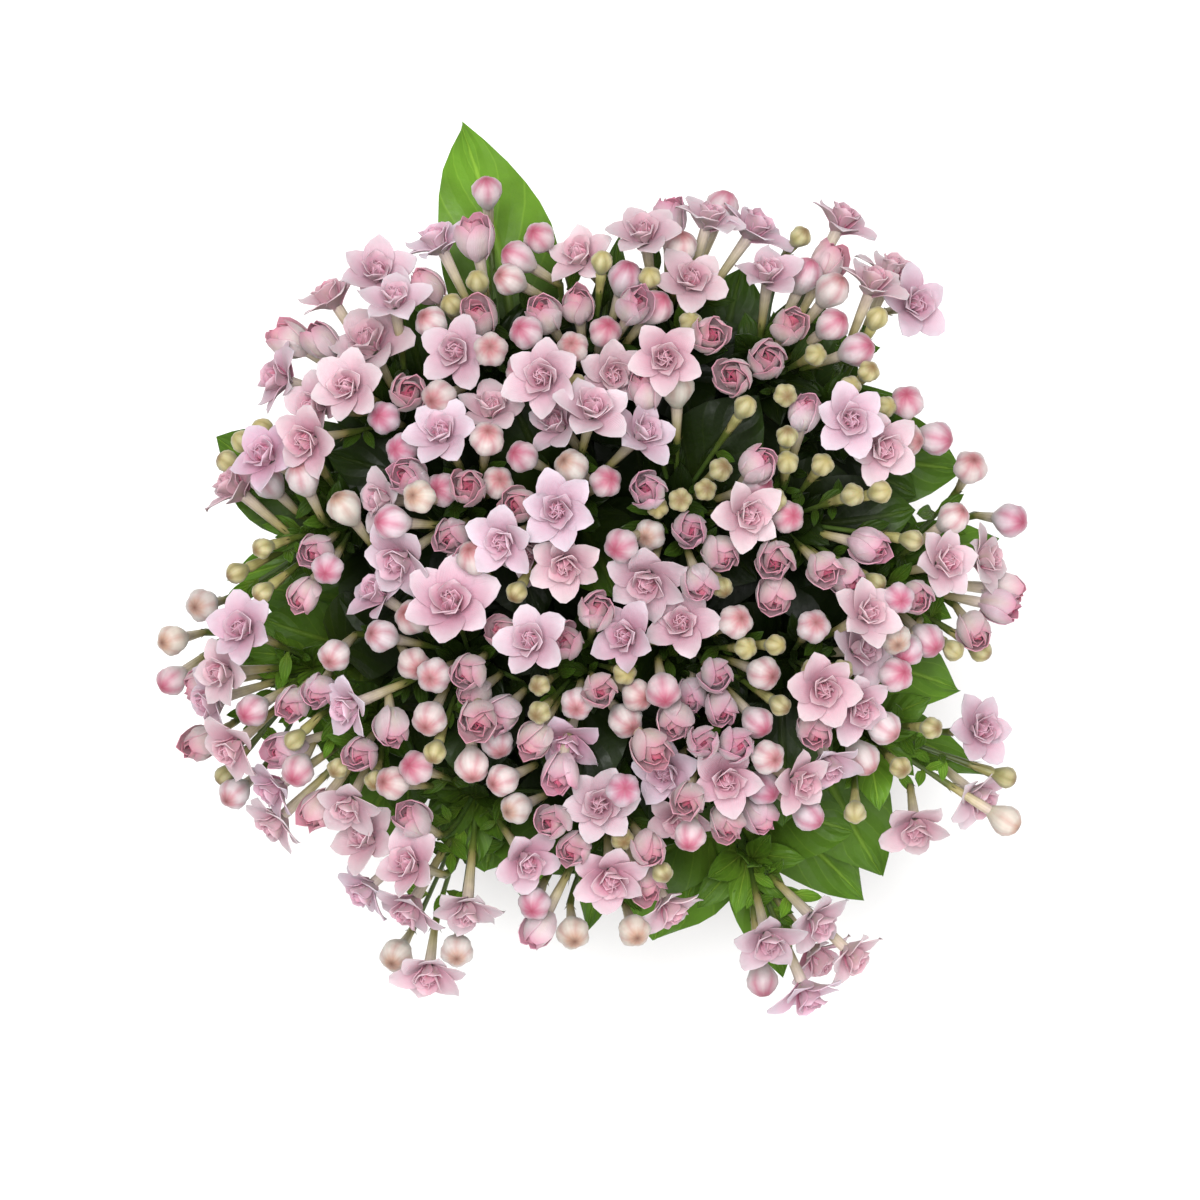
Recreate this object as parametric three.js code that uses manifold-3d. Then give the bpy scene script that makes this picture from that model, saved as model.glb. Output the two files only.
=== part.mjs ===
// Potted double bouvardia: a fired-clay pot of soil, twenty-three leafy stems that stand in it,
// and a dense round crown of tubular pink flowers and buds. Millimetres, +Z up, and the origin is
// the middle of the pot's flat foot.
import * as THREE from 'three';
import Module from 'manifold-3d';

const wasm = await Module();
wasm.setup();

// Driving dimensions of the pot and its soil
const POT = {
  height: 112,
  footRadius: 43,
  bodyRadius: 59,
  bandBottom: 88,
  bandRadius: 62.5,
  lipRadius: 65,
  wall: 5,
  floor: 6,
  sides: 20,
  drainRadius: 5,
  drainRing: 24,
  drainCount: 3,
};
const SOIL = { top: 100, crownRise: 3, holeDepth: 16, sides: 20, holeRoom: 1 };
const GAP = 0.3;

// The crown is the upper half of an oval dome. Its reach differs towards +Y and -Y.
const CROWN = {
  centreX: 1.5,
  centreY: 12,
  halfWidth: 142,
  reachNorth: 118,
  reachSouth: 154,
  skirt: 222,
  depth: 94,
  rimShare: 0.97,
};

// Flower places are pixels of a straight-down view with this scale at the mean flower height
const VIEW = { middle: 600, potRow: 560, scale: 0.3, distance: 1100, level: 290 };

// Flower stages: F full bloom, O open bloom, H half-open, B balloon bud, G small green bud
const STAGES = {
  F: { reach: 12.6, room: 9.6, tube: 23 },
  O: { reach: 10.8, room: 8.2, tube: 22 },
  H: { reach: 6.0, room: 5.6, tube: 22 },
  B: { reach: 4.9, room: 4.6, tube: 21 },
  G: { reach: 3.3, room: 3.2, tube: 12 },
};

// Every head: each flower's stage and pixel, and after < the pixel where its tube is seen to begin.
// The last head stands apart on a stem of its own.
const HEADS = [
  'O333,300 O377,275<380,305 H287,337 H318,338 F372,347 O350,388 O283,380 O318,408 O310,440 '
    + 'O395,303 B385,418<402,425 H408,393 B403,450<425,455',
  'H425,283 B432,323 G452,305 O440,245 H475,235 B487,192<490,235 G478,282 H478,315 '
    + 'B518,258<560,285 B510,280<545,298 O458,352 B491,350 B440,397 B522,370',
  'B540,238<560,258 O582,258<605,290 G602,262 H543,312 H578,303 B605,333 B573,348 '
    + 'B527,333<550,350 B625,278 O612,375 O545,377 G575,385 B655,308 H635,305',
  'G640,222 O645,237 H670,215 O708,222 B722,208 O752,232 B680,248 O690,283 H710,335 G690,322 '
    + 'G650,278 O665,358 G668,345',
  'G800,237<785,255 O768,277 O840,225 H830,260 B805,275 B832,290 H790,325 B832,325 G815,355 '
    + 'B857,350 H767,360 H733,377 G785,395',
  'O872,287 O890,275 O912,305<885,312 G877,318 G868,372 G850,387 G885,407 B907,403<907,425 '
    + 'B907,440 B935,438 O850,420 O880,447',
  'O443,435 O490,412 B487,440 H408,478 B420,497 B443,490 H468,487 B497,483 O385,500 '
    + 'B392,522<435,525 H450,537 F402,558 B475,558<490,580',
  'G243,442 G263,430 O268,457 G228,462 O238,490<290,535 B268,482<300,515 B303,478<322,518 '
    + 'G315,460 B345,508<372,545 H315,552 B328,568 H302,597 G263,548 G237,573 G263,592 '
    + 'B203,605<225,600',
  'B523,457<548,470 H518,505 O560,425<585,455 B572,467<595,485 O558,510 O505,540 O530,550 '
    + 'O565,562 G517,592 B605,482 O592,412 O641,435',
  'G720,470 G705,490 G680,500 G658,508 H648,490 H690,530 B650,535 B622,545 F648,578 H700,585 '
    + 'G722,587 O745,515 H760,463<735,490 B757,487 H722,555 B677,388 H645,387 G745,407',
  'H805,410 G787,437 G787,463 G822,465 G852,495 G880,492 B787,517<770,520 G775,500 H775,560 '
    + 'H775,597 H825,570 H848,580 G875,583 H872,547 G912,540',
  'B970,468<958,490 B953,518 B1010,520<975,515 O942,563 O982,560 H1007,590 H1003,607 B927,640 '
    + 'H975,632<955,605 G953,650 G980,650 H917,598 B908,650<920,620 B895,638 B898,598',
  'B813,627 O865,615 O858,650 O822,688 G842,670 G812,670 B895,675<870,680 O855,705 B883,727 '
    + 'H815,732 O827,762 B862,758',
  'G931,728 O978,730<950,732 G900,767 O975,795<935,760 O915,825<910,785 B1005,820 G1005,777 '
    + 'G855,812',
  'O682,625 B735,622 G775,645 B763,673 G780,705 H717,675 B663,690<658,660 H690,697 H675,722 '
    + 'H722,710 B757,722 G745,648 O628,637',
  'G624,673 H600,690 B637,695 B625,720 H503,632 O533,642 H565,640 H597,610 G540,685 G540,712 '
    + 'B577,703 H533,742 O568,740 H560,775 H652,750',
  'O380,595 F452,605 B413,618 B435,675 H467,673<485,655 H472,695<500,675 B335,655<355,635 '
    + 'B382,636 B413,663<400,645 O352,705 H478,720 H500,715<525,690 B497,742 B472,765 B430,718 '
    + 'G435,752 H392,730<388,690',
  'B173,640<205,632 O245,630 B172,680<205,655 H198,685 O225,672 O215,700 B253,710 '
    + 'H198,745<235,722 O235,745 G225,775 B235,793<262,770',
  'H292,705<310,680 H318,693<330,670 G295,740<320,715 H283,750 B298,770<315,740 G338,768 '
    + 'H360,755 G375,780 O277,787 O278,820 H316,812 O350,803',
  'B417,768 B393,783 B503,780<535,765 B517,808<545,795 H412,818<440,835 O412,865<445,875 '
    + 'O368,838<400,850 O368,888 O411,905 B397,955<412,930 O429,970<435,925 B457,950<460,925 '
    + 'O467,907 O525,859',
  'B535,903<545,880 H537,932 B573,932<570,905 H552,822 H573,850 O600,805 O610,875 B623,790 '
    + 'G622,838 H650,850 B634,930<625,905 H647,885 O668,905 G662,872',
  'O668,770 H703,742 H737,745 B767,757 O725,778 B763,787 O797,780 O683,815 H688,800 B690,835 '
    + 'H727,825 H760,818 B808,815',
  'O767,938 B762,980 O815,920 O815,955 O850,953 O805,990',
];

// Flower heads, stems and leaves
const HEAD = {
  depth: 36,
  stalk: 9,
  stalkRadius: 1.7,
  cupDepth: 5,
  cupRadius: 6.8,
  cupSides: 6,
  pedicelSpread: 4.9,
  pedicelRoom: 2,
  pedicel: 0.85,
  pedicelSides: 3,
  pedicelSink: 0.6,
};
const STEM = { sides: 4, steps: 4, straight: 1, footRadius: 2.5, tipRadius: 1.7, gather: 0.36 };
const LEAF = {
  firstRise: 30,
  spacing: 46,
  topRoom: 4,
  lengths: [64, 54, 44, 36, 28],
  turns: [0, 26, -26, 52, -52],
  climbs: [0, 16, -16],
  shownLifts: [0, -6, 6, -12, 12, -18, 18, -24],
  shownDrops: [0, 0.08, 0.16],
  halfWidthShare: 0.28,
  stations: [[0.16, 0.07], [0.36, 0.9], [0.66, 0.8]],
  thickness: 1.2,
  fold: 0.08,
  room: 4.2,
  stemRoom: 2.6,
  tubeRoom: 1.8,
  limbShare: 0.85,
  reach: 156,
  lowest: 122,
  pairs: 3,
};
const HEAD_ONLY = -1;

// Leaves that show between and beyond the flowers: stem, share up the stem, the column and row of
// the pixel where the tip is seen, its height, and half the width
const SHOWN_LEAVES = [
  [2, 1.0, 461, 122, 228, 18],
  [7, 0.95, 326, 452, 262, 14],
  [8, 0.9, 282, 594, 240, 7],
  [8, 0.85, 226, 580, 236, 9],
  [9, 1.0, 504, 398, 276, 6],
  [10, 1.0, 646, 458, 292, 7],
  [10, 0.95, 742, 402, 262, 16],
  [11, 1.0, 868, 498, 262, 16],
  [11, 0.95, 866, 562, 252, 8],
  [6, 0.95, 962, 470, 246, 15],
  [12, 0.95, 1000, 538, 238, 10],
  [12, 0.9, 900, 520, 250, 10],
  [18, 0.9, 190, 668, 226, 7],
  [18, 1.0, 276, 652, 236, 13],
  [13, 0.95, 962, 690, 236, 14],
  [13, 0.85, 886, 800, 236, 8],
  [14, 0.8, 882, 877, 212, 17],
  [14, 1.0, 986, 776, 224, 8],
  [23, 0.75, 654, 942, 196, 22],
  [23, 0.85, 866, 901, 214, 13],
  [23, 1.0, 784, 978, 218, 9],
  [20, 0.9, 486, 872, 226, 20],
  [20, 0.8, 530, 914, 206, 10],
  [19, 0.9, 352, 862, 214, 12],
  [21, 0.9, 587, 930, 214, 9],
  [3, 1.0, 620, 236, 252, 6],
];
const SETTLE = { rounds: 60, ownShare: 1.1, otherShare: 1.0, limit: 14 };

const UP = new THREE.Vector3(0, 0, 1);
const EAST = new THREE.Vector3(1, 0, 0);

// The same run of numbers between 0 and 1 for the same seed
function seededRandom(seed) {
  let state = seed >>> 0;
  return () => {
    state = (Math.imul(state, 1664525) + 1013904223) >>> 0;
    return state / 4294967296;
  };
}

// A closed surface grown ring by ring from its root to its tip
class Skin {
  constructor() {
    this.points = [];
    this.faces = [];
  }

  ring(points) {
    const first = this.points.length / 3;
    points.forEach((point) => this.points.push(point.x, point.y, point.z));
    return points.map((_, index) => first + index);
  }

  bridge(lower, upper) {
    let below = 0;
    let above = 0;
    while (below < lower.length || above < upper.length) {
      const a = lower[below % lower.length];
      const b = upper[above % upper.length];
      const stepBelow = (below + 1) / lower.length <= (above + 1) / upper.length;
      if (stepBelow && below < lower.length) {
        this.faces.push(a, lower[(below + 1) % lower.length], b);
        below += 1;
      } else {
        this.faces.push(a, upper[(above + 1) % upper.length], b);
        above += 1;
      }
    }
    return upper;
  }

  closeRoot(ring) {
    for (let i = 1; i + 1 < ring.length; i += 1) this.faces.push(ring[0], ring[i + 1], ring[i]);
  }

  closeTip(ring) {
    for (let i = 1; i + 1 < ring.length; i += 1) this.faces.push(ring[0], ring[i], ring[i + 1]);
  }

  fan(ring, apex) {
    const [tip] = this.ring([apex]);
    ring.forEach((index, i) => this.faces.push(index, ring[(i + 1) % ring.length], tip));
  }

  point(index) {
    return new THREE.Vector3().fromArray(this.points, 3 * index);
  }

  solid() {
    return new wasm.Manifold(new wasm.Mesh({
      numProp: 3,
      vertProperties: new Float32Array(this.points),
      triVerts: new Uint32Array(this.faces),
    }));
  }
}

// Two directions square to an axis, turned about it by an angle
function sideways(axis, hint, turn = 0) {
  const u = hint.clone().addScaledVector(axis, -hint.dot(axis)).normalize();
  const v = axis.clone().cross(u);
  const c = Math.cos(turn);
  const s = Math.sin(turn);
  return [
    u.clone().multiplyScalar(c).addScaledVector(v, s),
    v.clone().multiplyScalar(c).addScaledVector(u, -s),
  ];
}

// Points evenly round an axis. Several radii and heights take turns.
function circle(centre, axes, axis, count, radii, heights = [0], start = 0) {
  const [u, v] = axes;
  return Array.from({ length: count }, (_, i) => {
    const angle = (2 * Math.PI * (i + start)) / count;
    const radius = radii[i % radii.length];
    return centre.clone()
      .addScaledVector(u, radius * Math.cos(angle))
      .addScaledVector(v, radius * Math.sin(angle))
      .addScaledVector(axis, heights[i % heights.length]);
  });
}

// The point at a height that a pixel of the straight-down view sees
function seenPoint(column, row, z) {
  const scale = (VIEW.scale * (VIEW.distance + VIEW.level - z)) / VIEW.distance;
  const middleY = (VIEW.potRow - VIEW.middle) * VIEW.scale;
  return new THREE.Vector3((column - VIEW.middle) * scale, middleY - (row - VIEW.middle) * scale, z);
}

// How far out a point lies on the crown's oval plan, from 0 in the middle to 1 at its edge
function planShare(x, y) {
  const across = (x - CROWN.centreX) / CROWN.halfWidth;
  const reach = y > CROWN.centreY ? CROWN.reachNorth : CROWN.reachSouth;
  return Math.hypot(across, (y - CROWN.centreY) / reach);
}

function crownHeight(x, y) {
  const share = Math.min(planShare(x, y), CROWN.rimShare);
  return CROWN.skirt + CROWN.depth * Math.sqrt(1 - share * share);
}

function crownNormal(point) {
  const reach = point.y > CROWN.centreY ? CROWN.reachNorth : CROWN.reachSouth;
  return new THREE.Vector3(
    (point.x - CROWN.centreX) / CROWN.halfWidth ** 2,
    (point.y - CROWN.centreY) / reach ** 2,
    (point.z - CROWN.skirt) / CROWN.depth ** 2,
  ).normalize();
}

// Puts each flower on the crown where its pixel sees it
function readFlowers() {
  const random = seededRandom(23);
  const flowers = [];
  HEADS.forEach((line, head) => {
    line.split(' ').forEach((word) => {
      const [place, tail] = word.slice(1).split('<');
      const [column, row] = place.split(',').map(Number);
      let centre = seenPoint(column, row, VIEW.level);
      for (let pass = 0; pass < 4; pass += 1) {
        centre = seenPoint(column, row, crownHeight(centre.x, centre.y));
      }
      const flower = { head, stage: word[0], column, row, centre, level: centre.z };
      flower.tail = tail ? tail.split(',').map(Number) : null;
      flower.turn = random() * 2 * Math.PI;
      flower.size = 0.94 + 0.12 * random();
      flowers.push(flower);
    });
  });
  return flowers;
}

// Lifts and lowers crowded flowers until they have room, without leaving their pixels
function settle(flowers) {
  for (let round = 0; round < SETTLE.rounds; round += 1) {
    for (let i = 0; i < flowers.length; i += 1) {
      for (let j = i + 1; j < flowers.length; j += 1) {
        const a = flowers[i];
        const b = flowers[j];
        const share = a.head === b.head ? SETTLE.ownShare : SETTLE.otherShare;
        const room = share * (STAGES[a.stage].room * a.size + STAGES[b.stage].room * b.size);
        const missing = room - a.centre.distanceTo(b.centre);
        if (missing > 0) {
          const lift = a.centre.z > b.centre.z ? missing / 2 : -missing / 2;
          a.centre = raised(a, lift);
          b.centre = raised(b, -lift);
        }
      }
    }
  }
}

function raised(flower, lift) {
  const low = flower.level - SETTLE.limit;
  const high = flower.level + SETTLE.limit;
  const z = Math.min(Math.max(flower.centre.z + lift, low), high);
  return seenPoint(flower.column, flower.row, z);
}

// Each head's fork lies under the middle of its flowers, and its stem leads down from there
function layOutShoots(flowers) {
  return HEADS.map((_, head) => {
    const own = flowers.filter((flower) => flower.head === head);
    const middle = new THREE.Vector3();
    own.forEach((flower) => middle.addScaledVector(flower.centre, 1 / own.length));
    const normal = crownNormal(middle);
    const fork = middle.clone().addScaledVector(normal, -HEAD.depth);
    const lean = normal.clone().lerp(UP, 0.45).normalize();
    const collar = fork.clone().addScaledVector(lean, -HEAD.stalk);
    const foot = new THREE.Vector3(collar.x * STEM.gather, collar.y * STEM.gather, 0);
    foot.z = soilHeight(foot.x, foot.y) + STEM.straight;
    spreadPedicels(own, fork, lean);
    return { head, flowers: own, fork, lean, collar, foot };
  });
}

// Pedicels spring from a small flat cup, each on the side that its flower leans to
function spreadPedicels(own, fork, lean) {
  const [u, v] = sideways(lean, EAST);
  const roots = own.map((flower) => {
    const way = flower.centre.clone().sub(fork).normalize();
    return new THREE.Vector2(way.dot(u), way.dot(v)).multiplyScalar(HEAD.pedicelSpread);
  });
  for (let round = 0; round < 60; round += 1) {
    roots.forEach((a, i) => {
      roots.slice(i + 1).forEach((b) => {
        const missing = HEAD.pedicelRoom - a.distanceTo(b);
        if (missing > 0) {
          const push = b.clone().sub(a).normalize().multiplyScalar(missing / 2);
          a.sub(push).clampLength(0, HEAD.pedicelSpread);
          b.add(push).clampLength(0, HEAD.pedicelSpread);
        }
      });
    });
  }
  own.forEach((flower, i) => {
    flower.origin = fork.clone().addScaledVector(u, roots[i].x).addScaledVector(v, roots[i].y);
  });
}

function soilHeight(x, y) {
  const inner = POT.bodyRadius - POT.wall;
  return SOIL.top + SOIL.crownRise * (1 - Math.min(Math.hypot(x, y) / inner, 1));
}

// Where a shoot's stem stands at a share of the way from the soil to its collar. It swings out in
// straight steps, each more than the last.
function stemPoint(shoot, share) {
  const step = Math.min(Math.floor(share * STEM.steps), STEM.steps - 1);
  const start = step / STEM.steps;
  const end = (step + 1) / STEM.steps;
  const swing = start * start + (start + end) * (share - start);
  return new THREE.Vector3(
    shoot.foot.x + (shoot.collar.x - shoot.foot.x) * swing,
    shoot.foot.y + (shoot.collar.y - shoot.foot.y) * swing,
    shoot.foot.z + (shoot.collar.z - shoot.foot.z) * share,
  );
}

function stemAtHeight(shoot, z) {
  const share = (z - shoot.foot.z) / (shoot.collar.z - shoot.foot.z);
  return stemPoint(shoot, Math.min(Math.max(share, 0), 1.15));
}

// The way a flower faces, and where its tube leaves the pedicel
function flowerAxis(flower) {
  const { tube } = STAGES[flower.stage];
  const foot = new THREE.Vector3();
  if (flower.tail) {
    const near = seenPoint(flower.tail[0], flower.tail[1], flower.centre.z - tube / 2);
    const away = Math.hypot(flower.centre.x - near.x, flower.centre.y - near.y);
    const drop = Math.sqrt(Math.max(tube * tube - away * away, (0.35 * tube) ** 2));
    foot.copy(seenPoint(flower.tail[0], flower.tail[1], flower.centre.z - drop));
  } else {
    const length = Math.min(tube, 0.72 * flower.centre.distanceTo(flower.origin));
    const axis = flower.centre.clone().sub(flower.origin).normalize();
    foot.copy(flower.centre).addScaledVector(axis, -length);
  }
  return { foot, axis: flower.centre.clone().sub(foot).normalize() };
}

// Grows a flower's tube and limb onto a skin from the ring where its pedicel starts
function growFlower(skin, root, flower, extra) {
  const { axis } = flowerAxis(flower);
  const { centre, stage } = flower;
  const axes = flowerSides(flower);
  const size = STAGES[stage].reach * flower.size + extra;
  let ring = root;
  const grow = (count, radii, heights, start = 0) => {
    ring = skin.bridge(ring, skin.ring(circle(centre, axes, axis, count, radii, heights, start)));
  };
  const tip = (height) => skin.fan(ring, centre.clone().addScaledVector(axis, height));
  if (stage === 'O' || stage === 'F') {
    grow(3, [0.17 * size], [-0.24 * size - extra]);
    grow(10, [size, 0.45 * size], [0.16 * size, -0.02 * size]);
    grow(5, [0.42 * size], [0.13 * size + extra], 0.25);
    grow(5, [0.36 * size], [0.42 * size + extra], 0.5);
    tip(0.2 * size + extra);
  } else if (stage === 'H') {
    grow(3, [0.3 * size], [-1.15 * size - extra]);
    grow(4, [1.02 * size], [-0.4 * size]);
    grow(4, [0.84 * size], [0.55 * size + extra], 0.25);
    tip(0.12 * size + extra);
  } else if (stage === 'B') {
    grow(3, [0.3 * size], [-1.25 * size - extra]);
    grow(4, [1.05 * size], [-0.15 * size]);
    tip(1.1 * size + extra);
  } else {
    grow(3, [0.34 * size], [-1.3 * size - extra]);
    grow(3, [1.1 * size], [0.1 * size]);
    tip(1.1 * size + extra);
  }
}

function flowerSides(flower) {
  const { axis } = flowerAxis(flower);
  return sideways(axis, new THREE.Vector3(Math.cos(flower.turn), Math.sin(flower.turn), 0.3));
}

// The outline of a flower's pedicel at a height above the top of the cup
function pedicelRing(flower, lean, height, radius) {
  const middle = flower.origin.clone().addScaledVector(lean, height);
  const axes = sideways(lean, flowerSides(flower)[0]);
  return circle(middle, axes, lean, HEAD.pedicelSides, [radius]);
}

// A flower as a solid of its own, with the root of its pedicel sunk in the cup
function flowerSolid(flower, lean, extra) {
  const skin = new Skin();
  const root = skin.ring(pedicelRing(flower, lean, -HEAD.pedicelSink, HEAD.pedicel + extra));
  skin.closeRoot(root);
  growFlower(skin, root, flower, extra);
  return skin.solid();
}

// A tapering round rod through a run of points, with flat ends square to the first and last way
function rod(points, radii, sides, firstWay, lastWay, hint = EAST) {
  const skin = new Skin();
  let ring = null;
  points.forEach((point, i) => {
    let way = i === 0 ? firstWay : lastWay;
    if (i > 0 && i < points.length - 1) {
      way = points[i + 1].clone().sub(points[i - 1]).normalize();
    }
    const next = skin.ring(circle(point, sideways(way, hint), way, sides, [radii[i]]));
    if (ring) skin.bridge(ring, next);
    else skin.closeRoot(next);
    ring = next;
  });
  skin.closeTip(ring);
  return skin.solid();
}

// Rings of the stalk and cup under a head's flowers, from the flat foot to the brim
function cupRings(shoot, extra) {
  const { fork, lean } = shoot;
  const slim = HEAD.stalkRadius + extra;
  const wide = HEAD.cupRadius + extra;
  const levels = [
    [GAP - HEAD.stalk - extra, slim],
    [-HEAD.cupDepth - extra, slim],
    [extra, wide],
  ];
  const axes = sideways(lean, EAST);
  return levels.map(([height, radius]) => (
    circle(fork.clone().addScaledVector(lean, height), axes, lean, HEAD.cupSides, [radius])
  ));
}

// A head in one skin: the cup, and each pedicel rising from a hole in the cup's flat top. A flower
// that crosses another joins it as a solid of its own.
function headSolid(shoot) {
  const { fork, lean } = shoot;
  const [u, v] = sideways(lean, EAST);
  const skin = new Skin();
  const rings = cupRings(shoot, 0).map((points) => skin.ring(points));
  skin.closeRoot(rings[0]);
  rings.slice(1).forEach((ring, i) => skin.bridge(rings[i], ring));
  const solids = shoot.flowers.map((flower) => flowerSolid(flower, lean, 0));
  const crossing = solids.map((solid, i) => solids.slice(0, i).some((other) => (
    solid.intersect(other).volume() > 0
  )));
  const seated = shoot.flowers.filter((_, i) => !crossing[i]);
  const roots = seated.map((flower) => skin.ring(pedicelRing(flower, lean, 0, HEAD.pedicel)));
  const flat = (index) => {
    const offset = skin.point(index).sub(fork);
    return new THREE.Vector2(offset.dot(u), offset.dot(v));
  };
  const brim = rings[rings.length - 1];
  const outline = [...brim, ...roots.flat()];
  const holes = roots.map((ring) => ring.map(flat));
  THREE.ShapeUtils.triangulateShape(brim.map(flat), holes).forEach((face) => {
    const [a, b, c] = face.map((k) => outline[k]);
    const turn = flat(b).sub(flat(a)).cross(flat(c).sub(flat(a)));
    skin.faces.push(a, ...(turn > 0 ? [b, c] : [c, b]));
  });
  seated.forEach((flower, i) => growFlower(skin, roots[i], flower, 0));
  return wasm.Manifold.union([skin.solid(), ...solids.filter((_, i) => crossing[i])]);
}

// The same head with a margin all round
function headMargin(shoot) {
  const skin = new Skin();
  const rings = cupRings(shoot, GAP).map((points) => skin.ring(points));
  skin.closeRoot(rings[0]);
  rings.slice(1).forEach((ring, i) => skin.bridge(rings[i], ring));
  skin.closeTip(rings[rings.length - 1]);
  const flowers = shoot.flowers.map((flower) => flowerSolid(flower, shoot.lean, GAP));
  return wasm.Manifold.union([skin.solid(), ...flowers]);
}

// A leaf springs from its stem, arches over and ends at its tip
function leafPoint(leaf, share) {
  const arch = 4 * leaf.arch * share * (1 - share);
  return leaf.root.clone().lerp(leaf.tip, share).addScaledVector(UP, arch);
}

function leafFrame(leaf, share) {
  const way = leafPoint(leaf, share + 0.01).sub(leafPoint(leaf, share - 0.01)).normalize();
  const side = way.clone().cross(UP).normalize();
  return { way, side, up: side.clone().cross(way) };
}

function leafSolid(leaf, extra) {
  const skin = new Skin();
  const outline = (middle, share, breadth) => {
    const { side, up } = leafFrame(leaf, share);
    const half = breadth * leaf.halfWidth + extra;
    const lift = LEAF.fold * breadth * leaf.halfWidth;
    const thick = LEAF.thickness + extra;
    const place = (s, u) => middle.clone().addScaledVector(side, s).addScaledVector(up, u);
    return skin.ring([place(half, lift), place(0, -thick), place(-half, lift)]);
  };
  const [petiole, ...blade] = LEAF.stations;
  let ring = outline(leaf.root, ...petiole);
  skin.closeRoot(ring);
  ring = skin.bridge(ring, outline(leafPoint(leaf, petiole[0]), ...petiole));
  blade.forEach((station) => {
    ring = skin.bridge(ring, outline(leafPoint(leaf, station[0]), ...station));
  });
  skin.fan(ring, leaf.tip);
  return skin.solid();
}

// Round markers along stems, tubes and limbs that a leaf of another shoot keeps clear of
function markers(shoots) {
  const marks = [];
  shoots.forEach((shoot) => {
    for (let share = 0; share <= 1; share += 0.05) {
      marks.push({ owner: shoot.head, point: stemPoint(shoot, share), radius: LEAF.stemRoom });
    }
    addRun(marks, shoot.head, shoot.collar, shoot.fork, LEAF.stemRoom);
    shoot.flowers.forEach((flower) => {
      const { foot } = flowerAxis(flower);
      const { reach } = STAGES[flower.stage];
      addRun(marks, HEAD_ONLY, flower.origin, foot, LEAF.tubeRoom);
      addRun(marks, HEAD_ONLY, foot, flower.centre, LEAF.tubeRoom);
      marks.push({ owner: HEAD_ONLY, point: flower.centre, radius: LEAF.limbShare * reach });
    });
  });
  return marks;
}

function addRun(marks, owner, from, to, radius) {
  const steps = Math.ceil(from.distanceTo(to) / 5);
  for (let step = 0; step <= steps; step += 1) {
    marks.push({ owner, point: from.clone().lerp(to, step / steps), radius });
  }
}

// Points spread over a blade
function bladePoints(leaf) {
  const points = [];
  const rows = [[0.24, 0.6], [0.34, 0.9], [0.44, 1], [0.54, 1], [0.64, 0.9], [0.74, 0.75], [0.84, 0.5]];
  rows.forEach(([share, breadth]) => {
    const { side, up } = leafFrame(leaf, share);
    [-1, -0.5, 0, 0.5, 1].forEach((across) => {
      const half = across * breadth * leaf.halfWidth;
      const lift = LEAF.fold * Math.abs(half);
      points.push(leafPoint(leaf, share).addScaledVector(side, half).addScaledVector(up, lift));
    });
  });
  points.push(leafPoint(leaf, 0.93), leaf.tip);
  return points;
}

function hasRoom(points, owner, marks) {
  const inReach = points.every((point) => (
    Math.hypot(point.x, point.y) < LEAF.reach && point.z > LEAF.lowest
  ));
  return inReach && !marks.some((mark) => mark.owner !== owner && points.some((point) => (
    point.distanceToSquared(mark.point) < (LEAF.room + mark.radius) ** 2
  )));
}

// The leaves that show, then opposite pairs up each stem, each pair square to the last, as long
// as there is room for them
function growLeaves(shoots) {
  const marks = markers(shoots);
  const leaves = shoots.map(() => []);
  const keep = (leaf, owner) => {
    leaves[owner].push(leaf);
    bladePoints(leaf).forEach((point) => marks.push({ owner, point, radius: LEAF.room }));
  };
  SHOWN_LEAVES.forEach(([stem, share, column, row, z, halfWidth]) => {
    const choices = LEAF.shownLifts.flatMap((lift) => LEAF.shownDrops.map((drop) => {
      const root = stemPoint(shoots[stem - 1], share - drop);
      const tip = seenPoint(column, row, z + lift);
      return { root, tip, arch: 0.1 * root.distanceTo(tip), halfWidth };
    }));
    const free = choices.find((leaf) => hasRoom(bladePoints(leaf), stem - 1, marks));
    keep(free ?? choices[0], stem - 1);
  });
  for (let pair = 0; pair < LEAF.pairs; pair += 1) {
    shoots.forEach((shoot) => {
      const random = seededRandom(101 + 31 * shoot.head + pair);
      const z = shoot.collar.z - LEAF.topRoom - LEAF.spacing * pair;
      if (z < SOIL.top + LEAF.firstRise) return;
      const root = stemAtHeight(shoot, z);
      const rise = (z - SOIL.top) / (shoot.collar.z - SOIL.top);
      const heading = outwardHeading(shoot) + (pair % 2) * (Math.PI / 2) + 0.3 * (random() - 0.5);
      [0, Math.PI].forEach((half) => {
        const climb = -0.05 + 0.5 * rise + 0.2 * (random() - 0.5);
        const leaf = leafWithRoom(root, heading + half, climb, shoot.head, marks);
        if (leaf) keep(leaf, shoot.head);
      });
    });
  }
  return leaves;
}

function leafWithRoom(root, heading, climb, owner, marks) {
  for (const length of LEAF.lengths) {
    for (const tilt of LEAF.climbs) {
      for (const turn of LEAF.turns) {
        const angle = heading + THREE.MathUtils.degToRad(turn);
        const rise = climb + THREE.MathUtils.degToRad(tilt);
        const way = new THREE.Vector3(
          Math.cos(angle) * Math.cos(rise),
          Math.sin(angle) * Math.cos(rise),
          Math.sin(rise),
        );
        const leaf = {
          root,
          tip: root.clone().addScaledVector(way, length),
          arch: 0.12 * length,
          halfWidth: LEAF.halfWidthShare * length,
        };
        if (hasRoom(bladePoints(leaf), owner, marks)) return leaf;
      }
    }
  }
  return null;
}

function outwardHeading(shoot) {
  return Math.atan2(shoot.collar.y - CROWN.centreY, shoot.collar.x - CROWN.centreX);
}

// A stem is square, with its flat sides towards its leaves
function cornerWay(shoot) {
  const angle = outwardHeading(shoot) + Math.PI / STEM.sides;
  return new THREE.Vector3(Math.cos(angle), Math.sin(angle), 0);
}

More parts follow.
